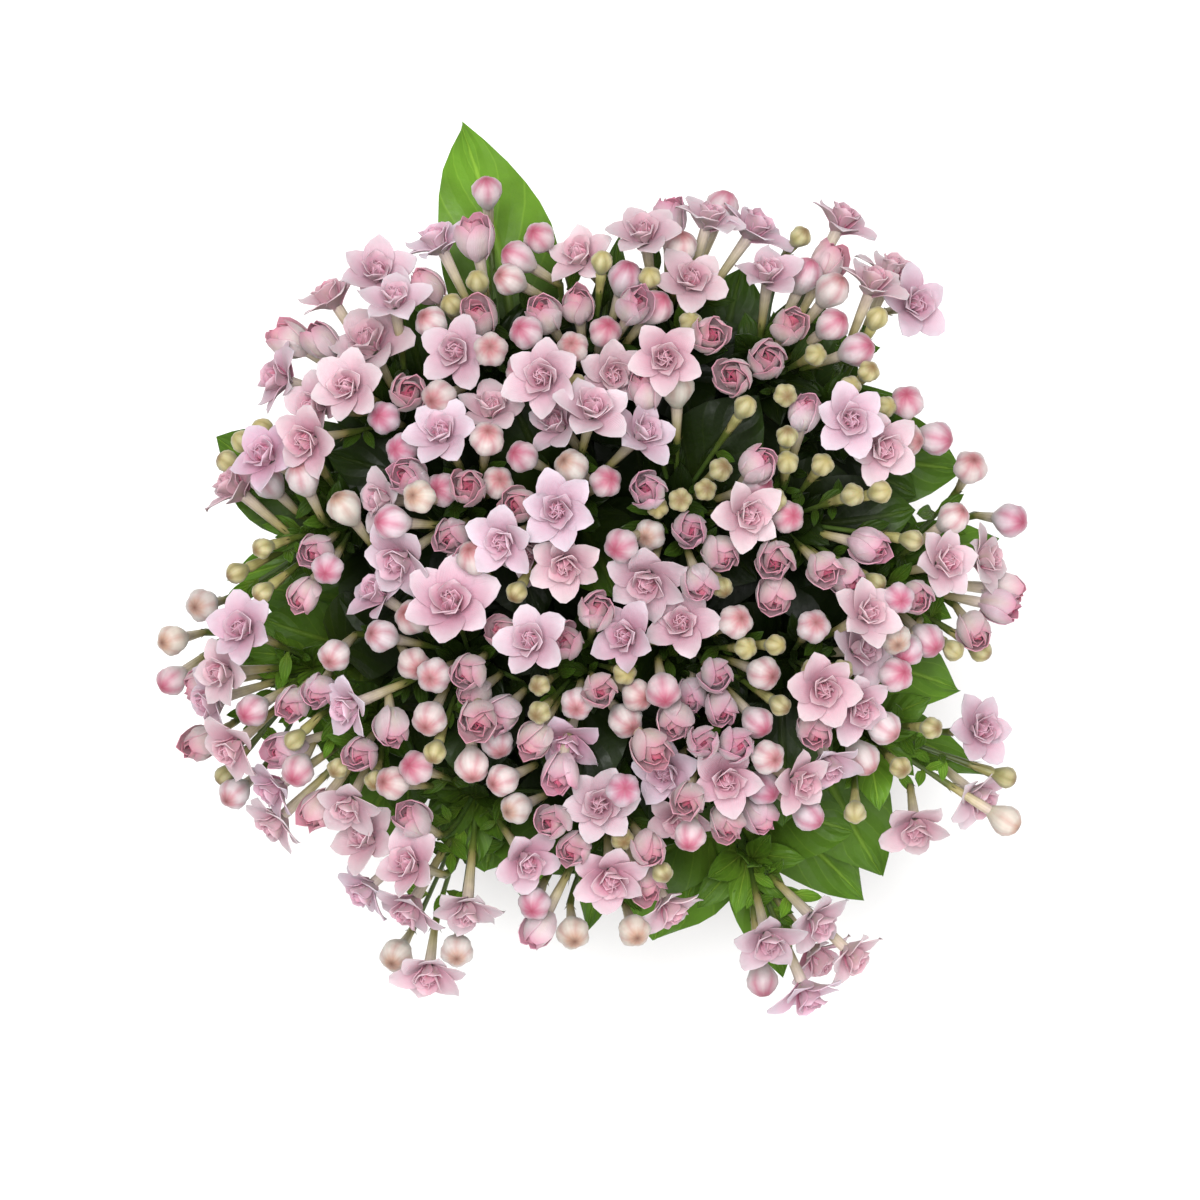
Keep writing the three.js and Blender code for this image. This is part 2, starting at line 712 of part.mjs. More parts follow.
function stemSolid(shoot, leaves, extra) {
  const sunk = SOIL.holeDepth + STEM.straight - GAP;
  const points = [shoot.foot.clone().addScaledVector(UP, -sunk)];
  const radii = [STEM.footRadius + extra];
  for (let step = 0; step <= STEM.steps; step += 1) {
    const share = step / STEM.steps;
    points.push(stemPoint(shoot, share));
    radii.push(THREE.MathUtils.lerp(STEM.footRadius, STEM.tipRadius, share) + extra);
  }
  const stem = rod(points, radii, STEM.sides, UP, shoot.lean, cornerWay(shoot));
  return wasm.Manifold.union([stem, ...leaves.map((leaf) => leafSolid(leaf, extra))]);
}

// Turns a closed outline about the upright axis
function lathe(outline, sides) {
  const skin = new Skin();
  const rings = outline.map(([radius, z]) => skin.ring(
    radius > 0
      ? circle(new THREE.Vector3(0, 0, z), sideways(UP, EAST), UP, sides, [radius])
      : [new THREE.Vector3(0, 0, z)],
  ));
  for (let i = 0; i + 1 < rings.length; i += 1) {
    const [lower, upper] = [rings[i], rings[i + 1]];
    for (let k = 0; k < sides; k += 1) {
      const next = (k + 1) % sides;
      if (lower.length > 1) skin.faces.push(lower[k], lower[next], upper[k % upper.length]);
      if (upper.length > 1) {
        skin.faces.push(lower[next % lower.length], upper[next], upper[k]);
      }
    }
  }
  return skin.solid();
}

function upright(x, y, low, high, radius, sides, hint = EAST) {
  const ends = [new THREE.Vector3(x, y, low), new THREE.Vector3(x, y, high)];
  return rod(ends, [radius, radius], sides, UP, UP, hint);
}

// The inside of the pot at a height
function innerRadius(z) {
  const slope = (POT.bodyRadius - POT.footRadius) / POT.bandBottom;
  return POT.footRadius + slope * z - POT.wall;
}

function potSolid() {
  const body = lathe([
    [0, 0],
    [POT.footRadius - 1.5, 0],
    [POT.footRadius, 1.5],
    [POT.bodyRadius, POT.bandBottom],
    [POT.bandRadius, POT.bandBottom + 1],
    [POT.lipRadius, POT.height - 2],
    [POT.lipRadius - 2, POT.height],
    [innerRadius(POT.height) + 1, POT.height],
    [innerRadius(POT.height), POT.height - 2],
    [innerRadius(POT.floor), POT.floor],
    [0, POT.floor],
  ], POT.sides);
  const drains = Array.from({ length: POT.drainCount }, (_, i) => {
    const angle = (2 * Math.PI * (i + 0.25)) / POT.drainCount;
    const x = POT.drainRing * Math.cos(angle);
    const y = POT.drainRing * Math.sin(angle);
    return upright(x, y, -1, POT.floor + 1, POT.drainRadius, 10);
  });
  return wasm.Manifold.difference([body, ...drains]);
}

function soilSolid(shoots) {
  const bottom = POT.floor + GAP;
  const body = lathe([
    [0, bottom],
    [innerRadius(bottom) - GAP, bottom],
    [innerRadius(SOIL.top) - GAP, SOIL.top - 1],
    [0.55 * innerRadius(SOIL.top), SOIL.top + 0.5 * SOIL.crownRise],
    [0, SOIL.top + SOIL.crownRise],
  ], SOIL.sides);
  const holes = shoots.map((shoot) => {
    const { x, y } = shoot.foot;
    const low = shoot.foot.z - STEM.straight - SOIL.holeDepth;
    const radius = STEM.footRadius + SOIL.holeRoom;
    return upright(x, y, low, SOIL.top + 20, radius, STEM.sides, cornerWay(shoot));
  });
  return wasm.Manifold.difference([body, ...holes]);
}

// The biggest of a solid's separate bodies
function mainBody(solid) {
  const bodies = solid.decompose();
  return bodies.reduce((best, body) => (body.volume() > best.volume() ? body : best));
}

// Where two pieces would cross, the later one is cut back from the earlier one
function clearOfEarlier(pieces) {
  pieces.forEach((piece, index) => {
    const blockers = pieces.slice(0, index).filter((other) => (
      boxesMeet(piece.solid, other.solid) && piece.solid.intersect(other.solid).volume() > 0
    ));
    blockers.forEach((other) => {
      piece.solid = piece.solid.subtract(other.grown());
    });
    if (blockers.length > 0) piece.solid = mainBody(piece.solid);
  });
}

function boxesMeet(a, b) {
  const first = a.boundingBox();
  const second = b.boundingBox();
  return [0, 1, 2].every((k) => first.min[k] < second.max[k] && second.min[k] < first.max[k]);
}

function toMesh(name, solid, material) {
  const { vertProperties, triVerts } = solid.getMesh();
  const geometry = new THREE.BufferGeometry();
  geometry.setAttribute('position', new THREE.BufferAttribute(new Float32Array(vertProperties), 3));
  geometry.setIndex(new THREE.BufferAttribute(new Uint32Array(triVerts), 1));
  geometry.computeVertexNormals();
  const mesh = new THREE.Mesh(geometry, material);
  mesh.name = name;
  return mesh;
}

const finish = (color, roughness) => new THREE.MeshStandardMaterial({
  color,
  roughness,
  metalness: 0,
  flatShading: true,
});
const CLAY = finish('#b5673f', 0.85);
const EARTH = finish('#2f2219', 0.95);
const GREEN = finish('#3f6b22', 0.5);
const PINK = finish('#e6b9cf', 0.55);

const flowers = readFlowers();
settle(flowers);
const shoots = layOutShoots(flowers);
const leaves = growLeaves(shoots);
const number = (shoot) => String(shoot.head + 1).padStart(2, '0');
const heads = shoots.map((shoot) => ({
  name: `head_${number(shoot)}`,
  solid: headSolid(shoot),
  grown: () => headMargin(shoot),
}));
const stems = shoots.map((shoot) => ({
  name: `stem_${number(shoot)}`,
  solid: stemSolid(shoot, leaves[shoot.head], 0),
  grown: () => stemSolid(shoot, leaves[shoot.head], GAP),
}));
clearOfEarlier([...heads, ...stems]);

const plant = new THREE.Group();
plant.add(toMesh('pot', potSolid(), CLAY));
plant.add(toMesh('soil', soilSolid(shoots), EARTH));
stems.forEach(({ name, solid }) => plant.add(toMesh(name, solid, GREEN)));
heads.forEach(({ name, solid }) => plant.add(toMesh(name, solid, PINK)));

export default plant;
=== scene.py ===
"""Potted double bouvardia: a clay pot of soil, leafy stems, and a dense crown of pink flowers.

The flowers, stems and leaves stand by the same rules and tables as the solids do. Lengths in this
file are millimetres, and every mesh is built in metres.
"""

from __future__ import annotations

import logging
import math
from dataclasses import dataclass, field
from enum import Enum
from typing import ClassVar, Sequence

import bpy
import numpy as np
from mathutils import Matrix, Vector

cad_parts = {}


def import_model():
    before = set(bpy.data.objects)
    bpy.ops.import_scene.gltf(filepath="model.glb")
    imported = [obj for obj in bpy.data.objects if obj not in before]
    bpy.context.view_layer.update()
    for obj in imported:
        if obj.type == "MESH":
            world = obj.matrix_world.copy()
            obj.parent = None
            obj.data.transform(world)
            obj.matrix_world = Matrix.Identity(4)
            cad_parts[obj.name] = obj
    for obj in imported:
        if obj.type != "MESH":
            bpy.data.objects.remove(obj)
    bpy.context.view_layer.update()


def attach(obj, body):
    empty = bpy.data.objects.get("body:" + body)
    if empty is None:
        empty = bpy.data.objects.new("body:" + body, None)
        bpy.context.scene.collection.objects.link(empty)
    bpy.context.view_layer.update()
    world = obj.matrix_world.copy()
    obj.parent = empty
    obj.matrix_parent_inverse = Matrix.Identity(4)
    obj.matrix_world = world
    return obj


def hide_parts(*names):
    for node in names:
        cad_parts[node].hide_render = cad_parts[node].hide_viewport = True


LOG = logging.getLogger("bouvardia")
UP = np.array([0.0, 0.0, 1.0])
EAST = np.array([1.0, 0.0, 0.0])
MILLIMETRE = 0.001
TURN = 2 * math.pi
REFLECTED = 0.51  # how much of its seen colour a surface reflects in this studio's light

Colour = tuple[int, int, int]


def linear(colour: Colour) -> np.ndarray:
    """Turns a colour as it is seen into how much of the light a surface reflects.

    Args:
        colour: Three numbers up to 255.

    Returns:
        Three scene-linear shares.
    """
    share = np.array(colour, float) / 255
    seen = np.where(share <= 0.04045, share / 12.92, ((share + 0.055) / 1.055) ** 2.4)
    return REFLECTED * seen


def unit(vector: np.ndarray) -> np.ndarray:
    """The vector at length one."""
    return vector / max(float(np.sqrt(vector @ vector)), 1e-12)


def ramp(stops: Sequence[tuple[float, Colour]], shares: np.ndarray) -> np.ndarray:
    """Colours along a run of stops.

    Args:
        stops: Pairs of a share from 0 to 1 and a screen colour, in order.
        shares: Where along the run each colour is wanted.

    Returns:
        One scene-linear colour a row.
    """
    places = [place for place, _ in stops]
    table = np.array([linear(colour) for _, colour in stops])
    return np.stack([np.interp(shares, places, table[:, k]) for k in range(3)], axis=1)


class SeededRandom:
    """The same run of numbers between 0 and 1 for the same seed."""

    def __init__(self, seed: int) -> None:
        """Starts the run at a seed."""
        self.state = seed & 0xFFFFFFFF

    def draw(self) -> float:
        """The next number."""
        self.state = (self.state * 1664525 + 1013904223) & 0xFFFFFFFF
        return self.state / 4294967296

    def between(self, low: float, high: float) -> float:
        """The next number, scaled to lie from low to high."""
        return low + (high - low) * self.draw()


# The plant's plan: where its flowers, stems and leaves are


class Stage(Enum):
    """How far a flower has opened, by its letter in the table of heads."""

    FULL = "F"
    OPEN = "O"
    HALF = "H"
    BALLOON = "B"
    GREEN = "G"


@dataclass(frozen=True)
class StageSize:
    """A stage's reach from its axis, the room that it needs and the length of its tube."""

    reach: float
    room: float
    tube: float


SIZES = {
    Stage.FULL: StageSize(12.6, 9.6, 23),
    Stage.OPEN: StageSize(10.8, 8.2, 22),
    Stage.HALF: StageSize(6.0, 5.6, 22),
    Stage.BALLOON: StageSize(4.9, 4.6, 21),
    Stage.GREEN: StageSize(3.3, 3.2, 12),
}

# Each flower's stage and pixel, and after < the pixel where its tube is seen to begin
HEADS = (
    "O333,300 O377,275<380,305 H287,337 H318,338 F372,347 O350,388 O283,380 O318,408 O310,440 "
    "O395,303 B385,418<402,425 H408,393 B403,450<425,455",
    "H425,283 B432,323 G452,305 O440,245 H475,235 B487,192<490,235 G478,282 H478,315 "
    "B518,258<560,285 B510,280<545,298 O458,352 B491,350 B440,397 B522,370",
    "B540,238<560,258 O582,258<605,290 G602,262 H543,312 H578,303 B605,333 B573,348 "
    "B527,333<550,350 B625,278 O612,375 O545,377 G575,385 B655,308 H635,305",
    "G640,222 O645,237 H670,215 O708,222 B722,208 O752,232 B680,248 O690,283 H710,335 G690,322 "
    "G650,278 O665,358 G668,345",
    "G800,237<785,255 O768,277 O840,225 H830,260 B805,275 B832,290 H790,325 B832,325 G815,355 "
    "B857,350 H767,360 H733,377 G785,395",
    "O872,287 O890,275 O912,305<885,312 G877,318 G868,372 G850,387 G885,407 B907,403<907,425 "
    "B907,440 B935,438 O850,420 O880,447",
    "O443,435 O490,412 B487,440 H408,478 B420,497 B443,490 H468,487 B497,483 O385,500 "
    "B392,522<435,525 H450,537 F402,558 B475,558<490,580",
    "G243,442 G263,430 O268,457 G228,462 O238,490<290,535 B268,482<300,515 B303,478<322,518 "
    "G315,460 B345,508<372,545 H315,552 B328,568 H302,597 G263,548 G237,573 G263,592 "
    "B203,605<225,600",
    "B523,457<548,470 H518,505 O560,425<585,455 B572,467<595,485 O558,510 O505,540 O530,550 "
    "O565,562 G517,592 B605,482 O592,412 O641,435",
    "G720,470 G705,490 G680,500 G658,508 H648,490 H690,530 B650,535 B622,545 F648,578 H700,585 "
    "G722,587 O745,515 H760,463<735,490 B757,487 H722,555 B677,388 H645,387 G745,407",
    "H805,410 G787,437 G787,463 G822,465 G852,495 G880,492 B787,517<770,520 G775,500 H775,560 "
    "H775,597 H825,570 H848,580 G875,583 H872,547 G912,540",
    "B970,468<958,490 B953,518 B1010,520<975,515 O942,563 O982,560 H1007,590 H1003,607 B927,640 "
    "H975,632<955,605 G953,650 G980,650 H917,598 B908,650<920,620 B895,638 B898,598",
    "B813,627 O865,615 O858,650 O822,688 G842,670 G812,670 B895,675<870,680 O855,705 B883,727 "
    "H815,732 O827,762 B862,758",
    "G931,728 O978,730<950,732 G900,767 O975,795<935,760 O915,825<910,785 B1005,820 G1005,777 "
    "G855,812",
    "O682,625 B735,622 G775,645 B763,673 G780,705 H717,675 B663,690<658,660 H690,697 H675,722 "
    "H722,710 B757,722 G745,648 O628,637",
    "G624,673 H600,690 B637,695 B625,720 H503,632 O533,642 H565,640 H597,610 G540,685 G540,712 "
    "B577,703 H533,742 O568,740 H560,775 H652,750",
    "O380,595 F452,605 B413,618 B435,675 H467,673<485,655 H472,695<500,675 B335,655<355,635 "
    "B382,636 B413,663<400,645 O352,705 H478,720 H500,715<525,690 B497,742 B472,765 B430,718 "
    "G435,752 H392,730<388,690",
    "B173,640<205,632 O245,630 B172,680<205,655 H198,685 O225,672 O215,700 B253,710 "
    "H198,745<235,722 O235,745 G225,775 B235,793<262,770",
    "H292,705<310,680 H318,693<330,670 G295,740<320,715 H283,750 B298,770<315,740 G338,768 "
    "H360,755 G375,780 O277,787 O278,820 H316,812 O350,803",
    "B417,768 B393,783 B503,780<535,765 B517,808<545,795 H412,818<440,835 O412,865<445,875 "
    "O368,838<400,850 O368,888 O411,905 B397,955<412,930 O429,970<435,925 B457,950<460,925 "
    "O467,907 O525,859",
    "B535,903<545,880 H537,932 B573,932<570,905 H552,822 H573,850 O600,805 O610,875 B623,790 "
    "G622,838 H650,850 B634,930<625,905 H647,885 O668,905 G662,872",
    "O668,770 H703,742 H737,745 B767,757 O725,778 B763,787 O797,780 O683,815 H688,800 B690,835 "
    "H727,825 H760,818 B808,815",
    "O767,938 B762,980 O815,920 O815,955 O850,953 O805,990",
)

# Leaves that show: stem, share up the stem, the tip's pixel and height, and half the width
SHOWN_LEAVES = (
    (2, 1.0, 461, 122, 228, 18),
    (7, 0.95, 326, 452, 262, 14),
    (8, 0.9, 282, 594, 240, 7),
    (8, 0.85, 226, 580, 236, 9),
    (9, 1.0, 504, 398, 276, 6),
    (10, 1.0, 646, 458, 292, 7),
    (10, 0.95, 742, 402, 262, 16),
    (11, 1.0, 868, 498, 262, 16),
    (11, 0.95, 866, 562, 252, 8),
    (6, 0.95, 962, 470, 246, 15),
    (12, 0.95, 1000, 538, 238, 10),
    (12, 0.9, 900, 520, 250, 10),
    (18, 0.9, 190, 668, 226, 7),
    (18, 1.0, 276, 652, 236, 13),
    (13, 0.95, 962, 690, 236, 14),
    (13, 0.85, 886, 800, 236, 8),
    (14, 0.8, 882, 877, 212, 17),
    (14, 1.0, 986, 776, 224, 8),
    (23, 0.75, 654, 942, 196, 22),
    (23, 0.85, 866, 901, 214, 13),
    (23, 1.0, 784, 978, 218, 9),
    (20, 0.9, 486, 872, 226, 20),
    (20, 0.8, 530, 914, 206, 10),
    (19, 0.9, 352, 862, 214, 12),
    (21, 0.9, 587, 930, 214, 9),
    (3, 1.0, 620, 236, 252, 6),
)


def sideways(axis: np.ndarray, hint: np.ndarray, turn: float = 0) -> tuple[np.ndarray, np.ndarray]:
    """Two directions square to an axis.

    Args:
        axis: The axis, at length one.
        hint: The way that the first direction leans to.
        turn: The angle by which both are turned about the axis.

    Returns:
        The two directions.
    """
    first = unit(hint - axis * (hint @ axis))
    second = np.cross(axis, first)
    c, s = math.cos(turn), math.sin(turn)
    return first * c + second * s, second * c - first * s


@dataclass
class Flower:
    """One flower or bud: its stage, where it is seen, and where its limb and its pedicel's root are."""

    head: int
    stage: Stage
    column: float
    row: float
    tail: tuple[float, float] | None
    turn: float
    size: float
    centre: np.ndarray
    level: float
    origin: np.ndarray = field(default_factory=lambda: np.zeros(3))
    foot: np.ndarray = field(default_factory=lambda: np.zeros(3))
    axis: np.ndarray = field(default_factory=lambda: UP.copy())
    face: np.ndarray = field(default_factory=lambda: UP.copy())

    @property
    def reach(self) -> float:
        """How far its limb reaches from its axis."""
        return SIZES[self.stage].reach * self.size


@dataclass
class Leaf:
    """One leaf, which arches from its root to its tip."""

    root: np.ndarray
    tip: np.ndarray
    arch: float
    half_width: float

    def rib(self, shares: np.ndarray) -> np.ndarray:
        """The points of the midrib at some shares of the way from root to tip."""
        along = shares[:, None]
        return self.root + (self.tip - self.root) * along + UP * (4 * self.arch * along * (1 - along))

    def sides(self, shares: np.ndarray) -> tuple[np.ndarray, np.ndarray]:
        """The directions that the blade spreads in.

        Args:
            shares: Shares of the way from root to tip.

        Returns:
            Its one sideways direction, and its upward direction at each share.
        """
        run = self.tip - self.root
        side = unit(np.array([run[1], -run[0], 0.0]))
        ways = run + UP * (4 * self.arch * (1 - 2 * shares[:, None]))
        ways /= np.linalg.norm(ways, axis=1, keepdims=True)
        return side, np.cross(side, ways)


@dataclass
class Shoot:
    """One stem with its head of flowers: its foot at the soil, collar, fork and lean."""

    head: int
    flowers: list[Flower]
    fork: np.ndarray
    lean: np.ndarray
    collar: np.ndarray
    foot: np.ndarray
    leaves: list[Leaf] = field(default_factory=list)
    STEPS: ClassVar[int] = 4
    HIGHEST: ClassVar[float] = 1.15

    def stem_point(self, share: float) -> np.ndarray:
        """Where the stem stands at a share of its height.

        Args:
            share: How far from the soil to the collar.

        Returns:
            The point.
        """
        step = min(math.floor(share * self.STEPS), self.STEPS - 1)
        start, end = step / self.STEPS, (step + 1) / self.STEPS
        swing = start * start + (start + end) * (share - start)
        point = self.foot + (self.collar - self.foot) * swing
        point[2] = self.foot[2] + (self.collar[2] - self.foot[2]) * share
        return point

    def at_height(self, z: float) -> np.ndarray:
        """Where the stem stands at a height."""
        share = (z - self.foot[2]) / (self.collar[2] - self.foot[2])
        return self.stem_point(min(max(share, 0), self.HIGHEST))

    def outward(self, centre_y: float) -> float:
        """The heading from the crown's middle to the stem's top."""
        return math.atan2(self.collar[1] - centre_y, self.collar[0])


@dataclass
class View:
    """A straight-down view that gives each pixel a place in the crown."""

    middle: float = 600
    pot_row: float = 560
    scale: float = 0.3
    distance: float = 1100
    level: float = 290

    @property
    def middle_y(self) -> float:
        """How far along +Y the middle of the view lies."""
        return (self.pot_row - self.middle) * self.scale

    def point(self, column: float, row: float, z: float) -> np.ndarray:
        """The point that a pixel sees at a height.

        Args:
            column: The pixel's column.
            row: Its row.
            z: The height.

        Returns:
            The point.
        """
        scale = (self.scale * (self.distance + self.level - z)) / self.distance
        y = self.middle_y - (row - self.middle) * scale
        return np.array([(column - self.middle) * scale, y, z])


@dataclass
class Dome:
    """The crown's shape: the upper half of an oval dome that reaches less far towards +Y."""

    centre_x: float = 1.5
    centre_y: float = 12
    half_width: float = 142
    reach_north: float = 118
    reach_south: float = 154
    skirt: float = 222
    depth: float = 94
    rim_share: float = 0.97

    def reach(self, y: float) -> float:
        """The dome's reach towards the side that y is on."""
        return self.reach_north if y > self.centre_y else self.reach_south

    def height(self, x: float, y: float) -> float:
        """The dome's height over a place of its plan.

        Args:
            x: How far along +X the place is.
            y: How far along +Y.

        Returns:
            The height.
        """
        across = (x - self.centre_x) / self.half_width
        along = (y - self.centre_y) / self.reach(y)
        share = min(math.hypot(across, along), self.rim_share)
        return self.skirt + self.depth * math.sqrt(1 - share * share)

    def normal(self, point: np.ndarray) -> np.ndarray:
        """The way that the dome faces at a point."""
        return unit(np.array([
            (point[0] - self.centre_x) / self.half_width**2,
            (point[1] - self.centre_y) / self.reach(point[1]) ** 2,
            (point[2] - self.skirt) / self.depth**2,
        ]))


class Markers:
    """Round markers that a leaf keeps clear of, in groups of one owner and radius."""

    MOST = 4096
    SPACING = 5

    def __init__(self) -> None:
        """Starts with no markers."""
        self.groups: list[np.ndarray] = []
        self.radii: list[float] = []
        self.owners = np.zeros(self.MOST, int)
        self.lows = np.zeros((self.MOST, 3))
        self.highs = np.zeros((self.MOST, 3))

    def add(self, owner: int, points: np.ndarray, radius: float) -> None:
        """Puts a group of markers at some points.

        Args:
            owner: The head that they belong to, or -1.
            points: Their centres.
            radius: Their radius.
        """
        k = len(self.groups)
        self.groups.append(points)
        self.radii.append(radius)
        self.owners[k] = owner
        self.lows[k], self.highs[k] = points.min(0) - radius, points.max(0) + radius

    def run(self, owner: int, start: np.ndarray, end: np.ndarray, radius: float) -> None:
        """Puts a group of markers along a straight line.

        Args:
            owner: The head that they belong to, or -1.
            start: Where the line starts.
            end: Where it ends.
            radius: The markers' radius.
        """
        steps = math.ceil(float(np.linalg.norm(end - start)) / self.SPACING)
        shares = np.linspace(0, 1, steps + 1)[:, None]
        self.add(owner, start + (end - start) * shares, radius)

    def clear(self, points: np.ndarray, owner: int, room: float) -> bool:
        """Whether some points keep clear of every marker of other owners.

        Args:
            points: The points.
            owner: The head whose own markers don't count.
            room: How far from a marker the points stay.

        Returns:
            True where all of them do.
        """
        count = len(self.groups)
        low, high = points.min(0) - room, points.max(0) + room
        near = (self.highs[:count] > low).all(1) & (self.lows[:count] < high).all(1)
        for k in np.nonzero(near & (self.owners[:count] != owner))[0]:
            gaps = ((points[:, None] - self.groups[k]) ** 2).sum(2)
            if (gaps < (self.radii[k] + room) ** 2).any():
                return False
        return True


@dataclass
class LeafRule:
    """How leaves are tried along a stem."""

    spacing: float
    pairs: int
    lengths: tuple[float, ...]
    room: float
    lowest: float
    seed: int
    reach: float = 156
    turns: tuple[float, ...] = (0, 26, -26, 52, -52)
    climbs: tuple[float, ...] = (0, 16, -16)
    half_width_share: float = 0.28
    start: float = 4


@dataclass
class Plan:
    """Where every flower, stem and leaf of the plant is."""

    view: View = field(default_factory=View)
    dome: Dome = field(default_factory=Dome)
    soil_top: float = 100
    soil_rise: float = 3
    soil_radius: float = 54
    sizes: tuple[float, float] = (0.94, 0.12)
    crowded: float = 110
    own_room: float = 1.1
    rounds: int = 60
    play: float = 14
    head_depth: float = 36
    upright: float = 0.45
    stalk: float = 9
    spread: float = 4.9
    pedicel_room: float = 2
    gather: float = 0.36
    straight: float = 1
    fold: float = 0.08
    least_drop: float = 0.35
    tube_share: float = 0.72
    nods: tuple[float, float] = (0.6, 0.3)
    least_face: float = 0.36
    stem_room: float = 2.6
    tube_room: float = 1.8
    limb_room: float = 0.85
    shoots: list[Shoot] = field(default_factory=list)
    own_leaves: LeafRule = field(default_factory=lambda: LeafRule(
        spacing=46, pairs=3, lengths=(64, 54, 44, 36, 28), room=4.2, lowest=122, seed=101))
    fillers: LeafRule = field(default_factory=lambda: LeafRule(
        spacing=13, pairs=11, lengths=(46, 36, 27), room=0.9, lowest=118, seed=977, reach=140,
        turns=(0, 40, -40), climbs=(0, 20), half_width_share=0.3, start=1))
    shown_lifts: tuple[float, ...] = (0, -6, 6, -12, 12, -18, 18, -24)
    shown_drops: tuple[float, ...] = (0, 0.08, 0.16)

    def lay_out(self) -> None:
        """Works the plan out."""
        flowers = self.read_flowers()
        self.settle(flowers)
        self.shoots = [self.shoot(head, flowers) for head in range(len(HEADS))]
        for flower in flowers:
            self.aim(flower)
        self.grow_leaves()

    def read_flowers(self) -> list[Flower]:
        """Puts each flower of the table on the dome where its pixel sees it.

        Returns:
            The flowers, head by head.
        """
        random = SeededRandom(23)
        flowers = []
        for head, line in enumerate(HEADS):
            for word in line.split():
                place, _, tail = word[1:].partition("<")
                column, row = (float(part) for part in place.split(","))
                centre = self.view.point(column, row, self.view.level)
                for _ in range(4):
                    centre = self.view.point(column, row, self.dome.height(centre[0], centre[1]))
                begin = tuple(float(part) for part in tail.split(",")) if tail else None
                turn, size = random.draw() * TURN, self.sizes[0] + self.sizes[1] * random.draw()
                flowers.append(Flower(
                    head, Stage(word[0]), column, row, begin, turn, size, centre, centre[2]))
        return flowers

    def settle(self, flowers: list[Flower]) -> None:
        """Lifts and lowers crowded flowers until they have room, without leaving their pixels.

        Args:
            flowers: Every flower of the plant.
        """
        pairs = []
        for i, a in enumerate(flowers):
            for j in range(i + 1, len(flowers)):
                b = flowers[j]
                if math.hypot(a.column - b.column, a.row - b.row) < self.crowded:
                    share = self.own_room if a.head == b.head else 1.0
                    room = share * (SIZES[a.stage].room * a.size + SIZES[b.stage].room * b.size)
                    pairs.append((a, b, room))
        for _ in range(self.rounds):
            for a, b, room in pairs:
                missing = room - math.dist(a.centre, b.centre)
                if missing > 0:
                    lift = missing / 2 if a.centre[2] > b.centre[2] else -missing / 2
                    self.raise_flower(a, lift)
                    self.raise_flower(b, -lift)

    def raise_flower(self, flower: Flower, lift: float) -> None:
        """Moves a flower up along its line of sight, within its play round its own level."""
        z = min(max(flower.centre[2] + lift, flower.level - self.play), flower.level + self.play)
        flower.centre = self.view.point(flower.column, flower.row, z)

    def soil_height(self, x: float, y: float) -> float:
        """The soil's height at a place."""
        return self.soil_top + self.soil_rise * (1 - min(math.hypot(x, y) / self.soil_radius, 1))

    def shoot(self, head: int, flowers: list[Flower]) -> Shoot:
        """Sets out the stem under a head's flowers and spreads the roots of their pedicels.

        Args:
            head: Which head.
            flowers: Every flower of the plant.

        Returns:
            The shoot, as yet without leaves.
        """
        own = [flower for flower in flowers if flower.head == head]
        middle = sum((flower.centre for flower in own), np.zeros(3)) / len(own)
        normal = self.dome.normal(middle)
        fork = middle - normal * self.head_depth
        lean = unit(normal + (UP - normal) * self.upright)
        collar = fork - lean * self.stalk
        foot = np.array([collar[0] * self.gather, collar[1] * self.gather, 0.0])
        foot[2] = self.soil_height(foot[0], foot[1]) + self.straight
        u, v = sideways(lean, EAST)
        ways = [unit(flower.centre - fork) for flower in own]
        roots = [np.array([way @ u, way @ v]) * self.spread for way in ways]
        for _ in range(self.rounds):
            for i in range(len(roots)):
                for j in range(i + 1, len(roots)):
                    self.push_apart(roots, i, j)
        for flower, root in zip(own, roots):
            flower.origin = fork + u * root[0] + v * root[1]
        return Shoot(head, own, fork, lean, collar, foot)

    def push_apart(self, roots: list[np.ndarray], i: int, j: int) -> None:
        """Moves two pedicel roots apart until they have room.

        Args:
            roots: All the roots of a head.
            i: The first root's place in the list.
            j: The second one's.
        """
        missing = self.pedicel_room - math.dist(roots[i], roots[j])
        if missing > 0:
            push = unit(roots[j] - roots[i]) * (missing / 2)
            roots[i], roots[j] = self.within(roots[i] - push), self.within(roots[j] + push)

    def within(self, root: np.ndarray) -> np.ndarray:
        """The nearest place inside the spread of the pedicels."""
        length = math.hypot(*root)
        return root * (min(length, self.spread) / length) if length > 0 else root

    def aim(self, flower: Flower) -> None:
        """Finds where a flower's tube begins and the way that the flower faces.

        Args:
            flower: The flower.
        """
        tube = SIZES[flower.stage].tube
        if flower.tail:
            near = self.view.point(*flower.tail, flower.centre[2] - tube / 2)
            away = math.hypot(flower.centre[0] - near[0], flower.centre[1] - near[1])
            drop = math.sqrt(max(tube * tube - away * away, (self.least_drop * tube) ** 2))
            flower.foot = self.view.point(*flower.tail, flower.centre[2] - drop)
        else:
            length = min(tube, self.tube_share * math.dist(flower.centre, flower.origin))
            flower.foot = flower.centre - unit(flower.centre - flower.origin) * length
        flower.axis = unit(flower.centre - flower.foot)
        nod = self.nods[0] if flower.tail else self.nods[1]
        face = unit(flower.axis + nod * (flower.axis - UP * (flower.axis @ UP)))
        flower.face = unit(face + UP * max(self.least_face - face[2], 0))

